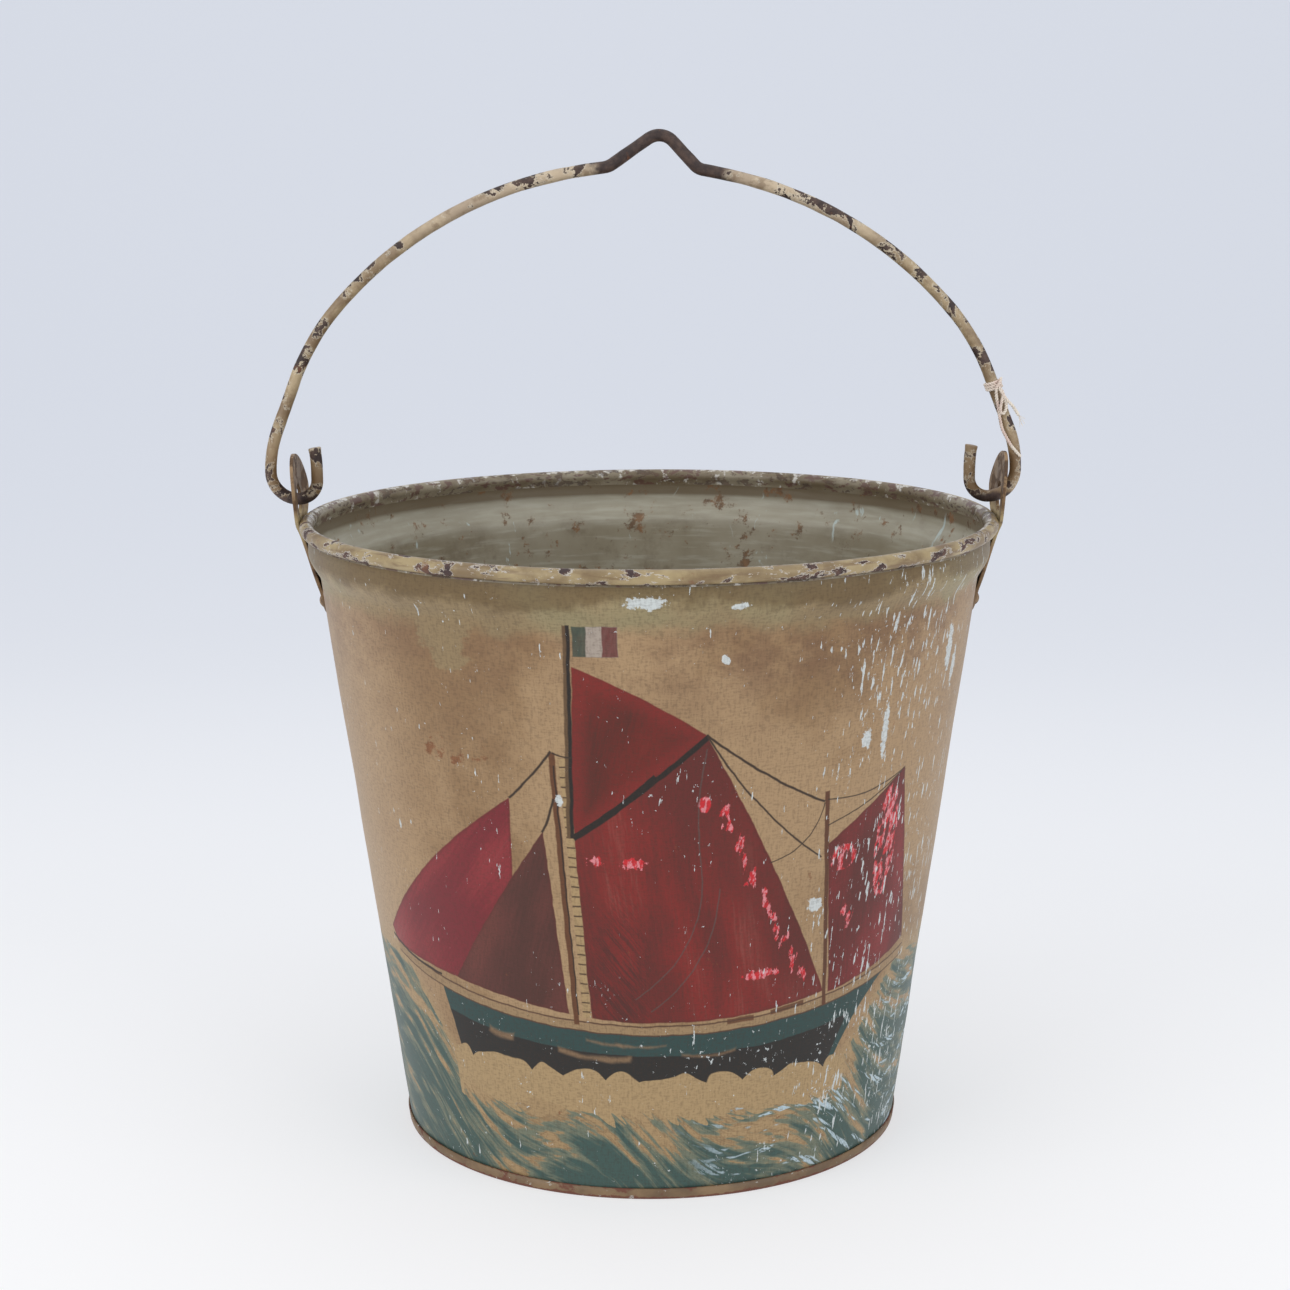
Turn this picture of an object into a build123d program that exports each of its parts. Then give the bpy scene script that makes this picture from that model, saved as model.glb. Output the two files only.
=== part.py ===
"""Painted tinplate bucket with a swinging wire bail.

Millimetres, +Z up, +X to the right ear. The origin is the centre of the foot, on the floor.
"""

from build123d import *
from math import asin, atan, cos, degrees, radians, sin, tan
import os

# Bucket: the main sizes.
HEIGHT = 251.0
FOOT_WALL_R = 100.6
TAPER = 0.13745
SHEET = 0.7
SEAM_GAP = 0.05

# Rim: a collar under a curl rolled around a wire.
SHOULDER_Z = 228.0
COLLAR_R = 136.25
COLLAR_LOW_Z = 239.0
CURL_R = 2.45
CURL_CENTRE = (137.1, HEIGHT - CURL_R - SHEET / 2)
CURL_FROM = 215
CURL_SWEEP = 290
RIM_WIRE_R = 2.05

# Foot: the bottom pan is folded up around the wall's lower edge.
PAN_Z = 5.6
FOOT_BAND = 4.8
FOLD_R = 0.75
FOOT_WEAR = 0.12
FOLD_Z = FOLD_R + SHEET / 2 - FOOT_WEAR

# Grooved side seams, one under each ear.
SEAM_WIDTH = 5.0
SEAM_HEIGHT = 0.9
SEAM_TOP = 207.0

# Ears: sheet leaves with a hole for the bail's hook.
EAR_T = 1.25
EAR_CLEAR = 0.08
EAR_NECK = (140.75, 247.5)
EAR_TIP_X = 143.0
EAR_TIP_Z = 275.5
EAR_FOOT_Z = 211.0
EAR_MEETS_WALL_Z = 221.0
HOLE_R = 6.0
HOLE_Z = 257.3

# Rivets: two through each ear.
RIVET_Z = 217.0
RIVET_Y = 6.5
SHANK_R = 1.3
RIVET_CLEAR = 0.05
HEAD_R = 2.6
HEAD_H = 1.3

# Bail: one bent wire, which rests a little to the left in its loose holes.
WIRE_R = 2.4
BAIL_SHIFT = -2.3
ARCH_R = 161.6
ARCH_CENTRE_Z = 227.0
ARCH_END = 41.0
LEG_TILT = 21.0
LEG_ARC_R = 93.6
LEG_STRAIGHT = 21.5
LEG_TURN_R = 47.0
HOOK_OUTER_R = 10.9
HOOK_INNER_R = 7.6
HOOK_UP = 4.0
FLARE_R = 55.0
FLARE = 9.5
CROOK_FROM = -22.0
CROOK_TO = 31.0
CROOK_RUN_IN = 9.0
CROOK_PEAK = (8.0, 402.8)
CROOK_RADII = (8.0, 7.5, 6.0)

# Tie string: a wrap, a strand down the leg and a short tail.
STRING_R = 0.55
WRAP_Z = 302.0
STRING_OFF = WIRE_R + STRING_R + 0.05
WRAP_EXTRA = 0.15
STRAND_TURN = (142.8, 280.0)
STRAND_END = (147.4, 275.0)
TAIL_START = (2.2, 298.5)
TAIL_TURN = (145.6, 293.5)
TAIL_END = (149.0, 288.0)


def wall_r(z):
    """Outer radius of the tapered wall at a height."""
    return FOOT_WALL_R + TAPER * z


def wall_mid(z):
    """Radius of the middle of the wall sheet at a height."""
    return wall_r(z) - SHEET / 2


def ribbon(line, thickness):
    """A section of even thickness along a line of the XZ plane, with rounded ends."""
    outline = offset(line, amount=thickness / 2, side=Side.BOTH)
    return make_face(outline.edges())


def on_wall(angle, z):
    """A plane on the wall's outer face, its normal pointing straight out of the sheet."""
    lean = atan(TAPER)
    out = Vector(cos(radians(angle)) * cos(lean), sin(radians(angle)) * cos(lean), -sin(lean))
    spot = Vector(cos(radians(angle)), sin(radians(angle)), 0) * wall_r(z) + Vector(0, 0, z)
    return Plane(origin=spot, z_dir=out)


def rivet_planes(side):
    """The two rivet places on one ear: front first, then back."""
    step = degrees(asin(RIVET_Y / wall_r(RIVET_Z)))
    middle = 0 if side > 0 else 180
    return [on_wall(middle - side * step, RIVET_Z), on_wall(middle + side * step, RIVET_Z)]


def rivet_hole(plane):
    return plane * Cylinder(SHANK_R + RIVET_CLEAR, 12)


def wall_section():
    """Middle line of the wall sheet, from the fold at the foot to the end of the curl."""
    with BuildLine(Plane.XZ) as line:
        cone = Line((wall_mid(FOLD_Z), FOLD_Z), (wall_mid(SHOULDER_Z), SHOULDER_Z))
        start = Vector(CURL_CENTRE) + Vector(CURL_R * cos(radians(CURL_FROM)), CURL_R * sin(radians(CURL_FROM)))
        heading = Vector(sin(radians(CURL_FROM)), -cos(radians(CURL_FROM)))
        crease_z = start.Y - (COLLAR_R - start.X) / -heading.X * heading.Y
        FilletPolyline(
            cone @ 1,
            (wall_mid(SHOULDER_Z) + 0.9, SHOULDER_Z + 4.0),
            (COLLAR_R - 0.5, COLLAR_LOW_Z - 1.0),
            (COLLAR_R, crease_z),
            (start.X, start.Y),
            radius=(4.0, 4.0, 1.2),
        )
        JernArc((start.X, start.Y), (heading.X, heading.Y), CURL_R, -CURL_SWEEP)
    return line.line


def seam_lip(angle):
    """The raised strip of a grooved seam: fused to its own sheet, clear of the other one."""
    half = degrees(SEAM_WIDTH / 2 / wall_r(SEAM_TOP / 2))
    low = FOOT_BAND + 1.0

    def strip(inside, start, sweep):
        corners = [
            (wall_r(low) + inside, low),
            (wall_r(low) + SEAM_HEIGHT, low),
            (wall_r(SEAM_TOP) + SEAM_HEIGHT, SEAM_TOP),
            (wall_r(SEAM_TOP) + inside, SEAM_TOP),
        ]
        face = make_face(Plane.XZ * Polyline(*corners, close=True))
        return Rot(Z=start) * revolve(face, Axis.Z, sweep)

    return strip(-SHEET / 2, angle, half) + strip(SEAM_GAP, angle - half, half)


def wall_half(front):
    """One of the two equal wall sheets: half a turn, with a seam lip along its first edge."""
    split = degrees(0.03 / wall_r(0))
    turn = 180 if front else 0
    sheet = revolve(ribbon(wall_section(), SHEET), Axis.Z, 180 - 2 * split)
    half = Rot(Z=turn + split) * sheet + seam_lip(turn + split)
    for side in (1, -1):
        front_place, back_place = rivet_planes(side)
        half -= rivet_hole(front_place if front else back_place)
    return half


def rim_wire():
    return Pos(0, 0, CURL_CENTRE[1]) * Torus(CURL_CENTRE[0], RIM_WIRE_R)


def bottom_pan():
    """A raised disc whose skirt goes down inside the wall and folds up outside it.

    Standing has worn the fold's underside to a narrow flat ring.
    """
    inside_r = wall_mid(PAN_Z) - FOLD_R
    lean = atan(TAPER)
    turn = Vector(FOLD_R * cos(lean), -FOLD_R * sin(lean))
    inner = Vector(wall_mid(FOLD_Z), FOLD_Z) - turn
    outer = Vector(wall_mid(FOLD_Z), FOLD_Z) + turn
    rise = FOOT_BAND - outer.Y - SHEET / 2
    with BuildLine(Plane.XZ) as line:
        FilletPolyline((30, PAN_Z), (inside_r, PAN_Z), (inner.X, inner.Y), radius=1.2)
        fold = JernArc((inner.X, inner.Y), (-sin(lean), -cos(lean)), FOLD_R, 180)
        Line(fold @ 1, (fold @ 1) + Vector(rise * TAPER, 0, rise))
    rim = revolve(ribbon(line.line, SHEET), Axis.Z, 360)
    disc = Pos(0, 0, PAN_Z) * Cylinder(40, SHEET)
    floor = Pos(0, 0, -5) * Box(300, 300, 10)
    return rim + disc - floor


def ear_section():
    """Middle line of an ear: up the wall, out past the curl and on up to the tip."""
    off = EAR_CLEAR + EAR_T / 2
    with BuildLine(Plane.XZ) as line:
        FilletPolyline(
            (wall_r(EAR_FOOT_Z - 4) + off, EAR_FOOT_Z - 4),
            (wall_r(EAR_MEETS_WALL_Z) + off, EAR_MEETS_WALL_Z),
            EAR_NECK,
            (EAR_TIP_X, EAR_TIP_Z + 2),
            radius=(12.0, 9.0),
        )
    return line.line


def ear_outline():
    """Half outline of the leaf seen from the side, as points of (y, z), mirrored to close it."""
    with BuildSketch(Plane.YZ) as leaf:
        with BuildLine():
            right = Spline(
                (0, EAR_TIP_Z),
                (12.5, 271.5),
                (20.5, 261.0),
                (16.5, 251.5),
                (9.0, 245.0),
                (9.5, 238.0),
                (14.5, 226.5),
                (11.5, 217.5),
                (0, EAR_FOOT_Z),
                tangents=((1, -0.05), (-1, -0.12)),
            )
            mirror(right, about=Plane.YZ)
        make_face()
    return leaf.sketch


def ear(side):
    band = revolve(ribbon(ear_section(), EAR_T), Axis.Z, 24)
    band = Rot(Z=-12) * band
    leaf = band & (Pos(100, 0, 0) * extrude(ear_outline(), 80, dir=(1, 0, 0)))
    leaf -= Pos(EAR_NECK[0], 0, HOLE_Z) * Rot(Y=90) * Cylinder(HOLE_R, 30)
    if side < 0:
        leaf = Rot(Z=180) * leaf
    for place in rivet_planes(side):
        leaf -= rivet_hole(place)
    return leaf


def rivet(plane):
    """A solid rivet: a shank with a domed head outside the ear and one inside the wall."""
    grip_out = EAR_CLEAR + EAR_T + 0.06
    grip_in = -SHEET - 0.06
    dome_r = (HEAD_R**2 + HEAD_H**2) / (2 * HEAD_H)
    half = asin(HEAD_R / dome_r) / 2
    mid_r = dome_r * sin(half)
    mid_h = HEAD_H - dome_r * (1 - cos(half))
    with BuildSketch(Plane.XZ) as section:
        with BuildLine():
            low = ThreePointArc((0, grip_in - HEAD_H), (mid_r, grip_in - mid_h), (HEAD_R, grip_in))
            high = ThreePointArc((HEAD_R, grip_out), (mid_r, grip_out + mid_h), (0, grip_out + HEAD_H))
            Polyline(low @ 1, (SHANK_R, grip_in), (SHANK_R, grip_out), high @ 0)
            Line(high @ 1, low @ 0)
        make_face()
    return plane * revolve(section.sketch, Axis.Z, 360)


def on_arch(x):
    """A point of the bail's arch."""
    return Vector(x, ARCH_CENTRE_Z + (ARCH_R**2 - x**2) ** 0.5)


def bail_side(start, sign, shift):
    """The arcs from the crook's end down one leg and round its hook, each tangent to the last."""
    spot = Vector(shift + start.X, start.Y)
    reach = degrees(asin(abs(start.X) / ARCH_R))
    rise = -start.X / (start.Y - ARCH_CENTRE_Z)
    turns = [
        (ARCH_R, 90 - ARCH_END - reach),
        (LEG_ARC_R, ARCH_END - LEG_TILT),
        (None, LEG_STRAIGHT),
        (LEG_TURN_R, LEG_TILT),
        (HOOK_OUTER_R, 90),
        (HOOK_INNER_R, 90),
        (None, HOOK_UP),
        (FLARE_R, FLARE),
    ]
    heading = Vector(sign, sign * rise).normalized()
    for radius, amount in turns:
        if radius is None:
            piece = Line((spot.X, spot.Y), (spot.X + heading.X * amount, spot.Y + heading.Y * amount))
        else:
            piece = JernArc((spot.X, spot.Y), (heading.X, heading.Y), radius, -sign * amount)
        end = piece @ 1
        way = piece % 1
        spot = Vector(end.X, end.Z)
        heading = Vector(way.X, way.Z)


def bail_path():
    left = on_arch(CROOK_FROM)
    right = on_arch(CROOK_TO)
    left_slope = -CROOK_FROM / (left.Y - ARCH_CENTRE_Z)
    right_slope = -CROOK_TO / (right.Y - ARCH_CENTRE_Z)
    corners = [
        (left.X, left.Y),
        (left.X + CROOK_RUN_IN, left.Y + CROOK_RUN_IN * left_slope),
        CROOK_PEAK,
        (right.X - CROOK_RUN_IN, right.Y - CROOK_RUN_IN * right_slope),
        (right.X, right.Y),
    ]
    with BuildLine(Plane.XZ) as path:
        FilletPolyline(*[(x + BAIL_SHIFT, z) for x, z in corners], radius=CROOK_RADII)
        bail_side(right, 1, BAIL_SHIFT)
        bail_side(left, -1, BAIL_SHIFT)
    return path.wire()


def bail_handle():
    path = bail_path()
    section = Plane(origin=path @ 0, z_dir=path % 0) * Circle(WIRE_R)
    return sweep(section, path=path, transition=Transition.ROUND)


def leg_x(z):
    """X of the wire's middle on the straight stretch of the right leg."""
    top = radians(ARCH_END)
    tilt = radians(LEG_TILT)
    start_x = ARCH_R * cos(top) + LEG_ARC_R * (cos(tilt) - cos(top))
    start_z = ARCH_CENTRE_Z + ARCH_R * sin(top) - LEG_ARC_R * (sin(top) - sin(tilt))
    return BAIL_SHIFT + start_x + (start_z - z) * tan(tilt)


def tube(points, radii):
    path = FilletPolyline(*points, radius=radii)
    section = Plane(origin=path @ 0, z_dir=path % 0) * Circle(STRING_R)
    return sweep(section, path=path)


def tag_string():
    """The leftover tie: a wrap around the leg, a strand along it and a short tail."""
    turn = radians(LEG_TILT)
    wrap_plane = Plane(origin=(leg_x(WRAP_Z), 0, WRAP_Z), z_dir=(-sin(turn), 0, cos(turn)))
    wrap = wrap_plane * Torus(STRING_OFF + WRAP_EXTRA, STRING_R + WRAP_EXTRA)
    strand = tube(
        [
            (leg_x(299.5) - 0.4, -STRING_OFF, 299.5),
            (leg_x(293.5) - 1.6, -STRING_OFF + 0.2, 293.5),
            (leg_x(286.5) - 2.6, -STRING_OFF + 0.7, 286.5),
            (STRAND_TURN[0], -STRING_OFF + 0.2, STRAND_TURN[1]),
            (STRAND_END[0], -STRING_OFF - 0.1, STRAND_END[1]),
        ],
        (20.0, 16.0, 9.0),
    )
    tail = tube(
        [
            (leg_x(TAIL_START[1]) + TAIL_START[0], -STRING_OFF, TAIL_START[1]),
            (TAIL_TURN[0], -STRING_OFF - 0.8, TAIL_TURN[1]),
            (TAIL_END[0], -STRING_OFF - 1.0, TAIL_END[1]),
        ],
        (9.0,),
    )
    return Compound([wrap.solid(), strand.solid(), tail.solid()])


def build():
    """Every sub-part by its name."""
    parts = {
        "wall_front": wall_half(True),
        "wall_back": wall_half(False),
        "rim_wire": rim_wire(),
        "bottom_pan": bottom_pan(),
        "ear_left": ear(-1),
        "ear_right": ear(1),
        "bail_handle": bail_handle(),
        "tag_string": tag_string(),
    }
    for side, name in ((-1, "left"), (1, "right")):
        front_place, back_place = rivet_planes(side)
        parts[f"rivet_{name}_front"] = rivet(front_place)
        parts[f"rivet_{name}_back"] = rivet(back_place)
    return parts


def main():
    os.makedirs("parts", exist_ok=True)
    for name, shape in build().items():
        shape.label = name
        export_step(shape, f"parts/{name}.step")
        print(name, len(shape.solids()), round(shape.volume, 1))


if __name__ == "__main__":
    main()
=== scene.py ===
# %% [markdown]
# # A painted tin bucket
# An old tapered bucket with a wire bail. Somebody painted a sailing boat on its front in oils,
# and years of use have chipped the paint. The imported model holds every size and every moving
# part. This file dresses it: it builds finer shells for the sheet metal, bends the bail's wire,
# ties a bit of string and paints everything with node materials.

# %% Load the frame
from math import asin, atan2, cos, degrees, hypot, pi, radians, sin, tan

import bmesh
import bpy
from mathutils import Matrix, Vector, noise
from mathutils.geometry import interpolate_bezier


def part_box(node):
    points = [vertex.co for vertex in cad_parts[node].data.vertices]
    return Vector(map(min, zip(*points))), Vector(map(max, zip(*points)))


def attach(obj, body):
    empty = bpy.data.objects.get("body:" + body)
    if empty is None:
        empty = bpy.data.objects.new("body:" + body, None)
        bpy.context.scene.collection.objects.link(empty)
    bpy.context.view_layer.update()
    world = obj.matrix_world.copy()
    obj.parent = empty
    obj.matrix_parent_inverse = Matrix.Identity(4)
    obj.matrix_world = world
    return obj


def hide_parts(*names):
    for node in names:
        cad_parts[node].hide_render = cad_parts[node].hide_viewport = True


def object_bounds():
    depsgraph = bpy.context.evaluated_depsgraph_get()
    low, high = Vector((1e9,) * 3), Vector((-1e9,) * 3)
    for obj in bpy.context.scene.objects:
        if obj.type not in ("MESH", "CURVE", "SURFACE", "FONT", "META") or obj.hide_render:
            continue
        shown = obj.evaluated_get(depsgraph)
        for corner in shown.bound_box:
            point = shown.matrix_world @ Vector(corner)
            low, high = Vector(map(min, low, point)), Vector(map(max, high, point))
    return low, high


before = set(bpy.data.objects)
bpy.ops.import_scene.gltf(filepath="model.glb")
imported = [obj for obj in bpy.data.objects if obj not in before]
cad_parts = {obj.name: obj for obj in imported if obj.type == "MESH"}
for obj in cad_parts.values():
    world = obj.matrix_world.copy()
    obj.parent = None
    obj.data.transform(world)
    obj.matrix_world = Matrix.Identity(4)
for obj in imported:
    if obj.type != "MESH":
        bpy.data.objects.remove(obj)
CAD_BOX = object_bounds()
MM = 0.001

# %% [markdown]
# ## Camera, floor and light
# A small thing is best shown through a long lens from a little above, so that the rim reads as
# an ellipse and the sides stay nearly straight. The floor runs up into a curved
# backdrop, so no horizon shows. Large soft lights from both sides keep the shadows faint, and
# the paper glows a little, as if lit from behind, which makes them fainter still.

# %% Camera
EYE = Vector((-0.4, -1031.9, 402.0)) * MM
LOOK_DOWN = radians(11.25)
PAN = radians(0.08)
ROLL = radians(-0.25)
LENS = 72.1
SENSOR = 36.0

camera_data = bpy.data.cameras.new("camera")
camera_data.lens = LENS
camera_data.sensor_width = SENSOR
camera = bpy.data.objects.new("camera", camera_data)
lift = Matrix.Rotation(pi / 2 - LOOK_DOWN, 4, "X")
turn = Matrix.Rotation(PAN, 4, "Z") @ lift @ Matrix.Rotation(ROLL, 4, "Z")
camera.matrix_world = Matrix.Translation(EYE) @ turn
bpy.context.scene.collection.objects.link(camera)
bpy.context.scene.camera = camera
print("camera distance:", round(EYE.length, 3))


# %% A wrapper for shader sockets
class Sock:
    """One output of a material's node tree. Arithmetic on it adds Math nodes."""

    def __init__(self, tree, out):
        self.tree = tree
        self.out = out

    def make(self, kind, values=(), out=0, **settings):
        """Any node: its settings first, then the values or links of its sockets."""
        node = self.tree.nodes.new("ShaderNode" + kind)
        for name, value in settings.items():
            setattr(node, name, value)
        for key, value in values.items() if isinstance(values, dict) else enumerate(values):
            if isinstance(value, Sock):
                self.tree.links.new(value.out, node.inputs[key])
            else:
                node.inputs[key].default_value = value
        return Sock(self.tree, node.outputs[out])

    def math(self, operation, *values):
        return self.make("Math", values, operation=operation)

    def __add__(self, other):
        return self.math("ADD", self, other)

    def __sub__(self, other):
        return self.math("SUBTRACT", self, other)

    def __rsub__(self, other):
        return self.math("SUBTRACT", other, self)

    def __mul__(self, other):
        return self.math("MULTIPLY", self, other)

    def __neg__(self):
        return self.math("MULTIPLY", self, -1.0)

    def __abs__(self):
        return self.math("ABSOLUTE", self)

    __radd__ = __add__
    __rmul__ = __mul__

    def max(self, other):
        return self.math("MAXIMUM", self, other)

    def min(self, other):
        return self.math("MINIMUM", self, other)

    def step(self, low, high):
        """0 at low, 1 at high and a smooth ramp between them."""
        return self.make("MapRange", (self, low, high, 0.0, 1.0), interpolation_type="SMOOTHSTEP")

    def under(self, edge, soft):
        """1 where this is below edge, fading to 0 over soft."""
        return self.step(edge + soft, edge - soft)

    def mix(self, other, factor):
        """This colour, with other over it where factor is 1."""
        over = other if isinstance(other, Sock) else (*other, 1.0)
        return self.make("Mix", {0: factor, 6: self, 7: over}, out=2, data_type="RGBA")

    def noise(self, scale, detail=3.0, rough=0.5, twist=0.0, stretch=(1, 1, 1), seed=0.0):
        """Noise from 0 to 1 at this place. A large stretch number packs it tighter that way."""
        place = self.make("Mapping", {0: self, 1: (seed, seed * 0.7, -seed), 3: stretch})
        values = {"Vector": place, "Scale": scale, "Detail": detail, "Roughness": rough, "Distortion": twist}
        return place.make("TexNoise", values)


def srgb(red, green, blue):
    """A paint colour named by its usual 0 to 255 numbers, as the linear values shaders use."""
    shares = [number / 255 for number in (red, green, blue)]
    return tuple(share / 12.92 if share <= 0.04 else ((share + 0.055) / 1.055) ** 2.4 for share in shares)


def new_material(name):
    """An empty material, its shader, and a first socket: the place in the object's own metres."""
    material = bpy.data.materials.new(name)
    material.use_nodes = True
    tree = material.node_tree
    shader = next(node for node in tree.nodes if node.type == "BSDF_PRINCIPLED")
    spot = Sock(tree, tree.nodes.new("ShaderNodeTexCoord").outputs["Object"])
    return material, shader, spot


def connect(shader, **sockets):
    """Links or sets shader inputs, such as Base_Color=socket or Metallic=1.0."""
    for name, value in sockets.items():
        target = shader.inputs[name.replace("_", " ")]
        if isinstance(value, Sock):
            value.tree.links.new(value.out, target)
        else:
            target.default_value = value


print("shader helper ready")

# %% Floor and backdrop
FLOOR_WIDTH = 5.0
FLOOR_FRONT = -2.4
SWEEP_START = 0.9
SWEEP_R = 0.9
SWEEP_STEPS = 12
WALL_TOP = 2.6
PAPER_NEAR = (0.95, 0.95, 0.955)
# The far, upper paper colour is painted shade.
PAPER_FAR_SHADE = (0.70, 0.73, 0.80)
PAPER_REFLECTS = 0.45
PAPER_GLOWS = 0.55


def backdrop():
    """One sheet of paper: a flat floor, a quarter turn up and a wall."""
    mesh = bmesh.new()
    profile = [(FLOOR_FRONT, 0.0), (SWEEP_START, 0.0)]
    for step in range(1, SWEEP_STEPS + 1):
        angle = step / SWEEP_STEPS * pi / 2
        profile.append((SWEEP_START + SWEEP_R * sin(angle), SWEEP_R * (1 - cos(angle))))
    profile.append((SWEEP_START + SWEEP_R, WALL_TOP))
    verts = [mesh.verts.new((-FLOOR_WIDTH / 2, y, z)) for y, z in profile]
    edges = [mesh.edges.new(pair) for pair in zip(verts, verts[1:])]
    moved = bmesh.ops.extrude_edge_only(mesh, edges=edges)["geom"]
    far = [v for v in moved if isinstance(v, bmesh.types.BMVert)]
    bmesh.ops.translate(mesh, verts=far, vec=(FLOOR_WIDTH, 0, 0))
    bmesh.ops.recalc_face_normals(mesh, faces=mesh.faces)
    data = bpy.data.meshes.new("backdrop")
    mesh.to_mesh(data)
    mesh.free()
    data.shade_smooth()
    floor = bpy.data.objects.new("backdrop", data)
    bpy.context.scene.collection.objects.link(floor)
    material, shader, spot = new_material("backdrop_paper")
    height = spot.make("SeparateXYZ", [spot], out=2)
    far_off = spot.make("SeparateXYZ", [spot], out=1)
    near_white = far_off.make("RGB")
    near_white.out.default_value = (*PAPER_NEAR, 1.0)
    # The paper is painted darker and bluer further back and higher up the wall: painted shade where the light
    # falls off.
    colour = near_white.mix(PAPER_FAR_SHADE, (far_off + height).step(-0.5, 1.7))
    reflects = colour.mix((0.0, 0.0, 0.0), 1 - PAPER_REFLECTS)
    connect(shader, Base_Color=reflects, Roughness=0.9, Emission_Color=colour)
    shader.inputs["Emission Strength"].default_value = PAPER_GLOWS
    shader.inputs["Specular IOR Level"].default_value = 0.1
    data.materials.append(material)
    return floor


backdrop()
print("floor width:", FLOOR_WIDTH)

# %% Lights
BUCKET_MIDDLE = (CAD_BOX[0] + CAD_BOX[1]) / 2


def area_light(name, place, size, power, colour=(1.0, 1.0, 1.0)):
    data = bpy.data.lights.new(name, "AREA")
    data.size = size
    data.energy = power
    data.color = colour
    light = bpy.data.objects.new(name, data)
    aim = BUCKET_MIDDLE - Vector(place)
    light.matrix_world = Matrix.Translation(place) @ aim.to_track_quat("-Z", "Y").to_matrix().to_4x4()
    bpy.context.scene.collection.objects.link(light)
    return light


area_light("left_softbox", (-1.4, -1.1, 1.0), 1.5, 14.5)
area_light("right_softbox", (1.35, -1.1, 0.9), 1.5, 11.0)
area_light("top_softbox", (0.0, 0.2, 1.9), 2.2, 10.0)
world = bpy.data.worlds.new("studio")
world.use_nodes = True
world.node_tree.nodes["Background"].inputs["Color"].default_value = (0.93, 0.96, 1.0, 1.0)
world.node_tree.nodes["Background"].inputs["Strength"].default_value = 0.60
bpy.context.scene.world = world
bpy.context.scene.view_settings.view_transform = "Standard"
print("lights:", 3)

# %% [markdown]
# ## Sheet metal
# The wall was rolled from two sheets of tinplate, joined under the ears. Each is one thin skin
# that follows a profile: a straight taper, a soft shoulder, an upright collar, and a curl
# around a wire at the rim. The easiest way to get such a skin is to draw the profile once as
# a chain of edges and spin it half a turn. A Solidify modifier then gives it its thickness.

# %% Sizes of the bucket
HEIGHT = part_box("wall_front")[1].z
RIM_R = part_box("wall_front")[1].x
FOOT_R = 100.6 * MM
TAPER = 0.13745
SHEET = 0.7 * MM
SHOULDER_Z = 228.0 * MM
COLLAR_Z = 238.6 * MM
COLLAR_R = 136.25 * MM
CREASE_Z = 244.4 * MM
CURL_R = 2.45 * MM
CURL_CENTRE = (RIM_R - CURL_R - SHEET / 2, HEIGHT - CURL_R - SHEET / 2)
CURL_FROM = radians(215)
CURL_SWEEP = radians(290)
FOLD_Z = 0.98 * MM
FOOT_BAND = 4.8 * MM
PAN_Z = 5.6 * MM
print("height and rim radius:", round(HEIGHT, 4), round(RIM_R, 4))


# %% Helpers for spun sheets
def smooth(x):
    """The S-curve from 0 to 1 that blends one shape into the next."""
    x = min(max(x, 0.0), 1.0)
    return x * x * (3 - 2 * x)


def mid_r(z):
    """Radius of the middle of the tapered wall at a height."""
    return FOOT_R + TAPER * z - SHEET / 2


def chain(mesh, profile):
    """A chain of edges through (radius, height) points, in front of the axis."""
    verts = [mesh.verts.new((0.0, -r, z)) for r, z in profile]
    return verts + [mesh.edges.new(pair) for pair in zip(verts, verts[1:])]


def spin(mesh, geometry, start, sweep, steps):
    """Turns the chain about the upright axis, from start through sweep, in radians."""
    verts = [g for g in geometry if isinstance(g, bmesh.types.BMVert)]
    bmesh.ops.rotate(mesh, verts=verts, cent=(0, 0, 0), matrix=Matrix.Rotation(start, 3, "Z"))
    whole = abs(sweep - 2 * pi) < 1e-6
    bmesh.ops.spin(mesh, geom=geometry, cent=(0, 0, 0), axis=(0, 0, 1), angle=sweep, steps=steps,
                   use_merge=whole)
    bmesh.ops.remove_doubles(mesh, verts=mesh.verts, dist=1e-6)


def face_out(mesh):
    """Turns a skin so that the faces of its lower wall look away from the axis."""
    total = sum(f.normal.dot(Vector((f.calc_center_median().x, f.calc_center_median().y, 0))) * f.calc_area()
                for f in mesh.faces if f.calc_center_median().z < SHOULDER_Z)
    if total < 0:
        bmesh.ops.reverse_faces(mesh, faces=mesh.faces)


def dent(mesh, amount, patch):
    """Pushes a skin in and out a little, as years of knocks do."""
    for v in mesh.verts:
        swell = noise.noise(v.co / patch) + 0.5 * noise.noise(v.co / patch * 2.3)
        v.co += Vector((v.co.x, v.co.y, 0)).normalized() * swell * amount


def finish_piece(name, mesh, materials, body="bucket", stands_for=(), thickness=None, bevel=None):
    """Makes the object, its modifiers and its place in the frame."""
    data = bpy.data.meshes.new(name)
    mesh.to_mesh(data)
    mesh.free()
    data.shade_smooth()
    for material in materials:
        data.materials.append(material)
    piece = bpy.data.objects.new(name, data)
    bpy.context.scene.collection.objects.link(piece)
    if thickness:
        solid = piece.modifiers.new("thickness", "SOLIDIFY")
        solid.thickness = thickness
        solid.offset = 0.0
        solid.use_even_offset = True
        if len(materials) > 1:
            solid.material_offset = 1
    if bevel:
        soft = piece.modifiers.new("soft_edges", "BEVEL")
        soft.width = bevel
        soft.segments = 2
        soft.limit_method = "ANGLE"
    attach(piece, body)
    if stands_for:
        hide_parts(*stands_for)
    print(name, "faces:", len(data.polygons))
    return piece


# %% The wall's profile
CONE_RINGS = 46
SHOULDER_RINGS = 10
CURL_RINGS = 18


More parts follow.
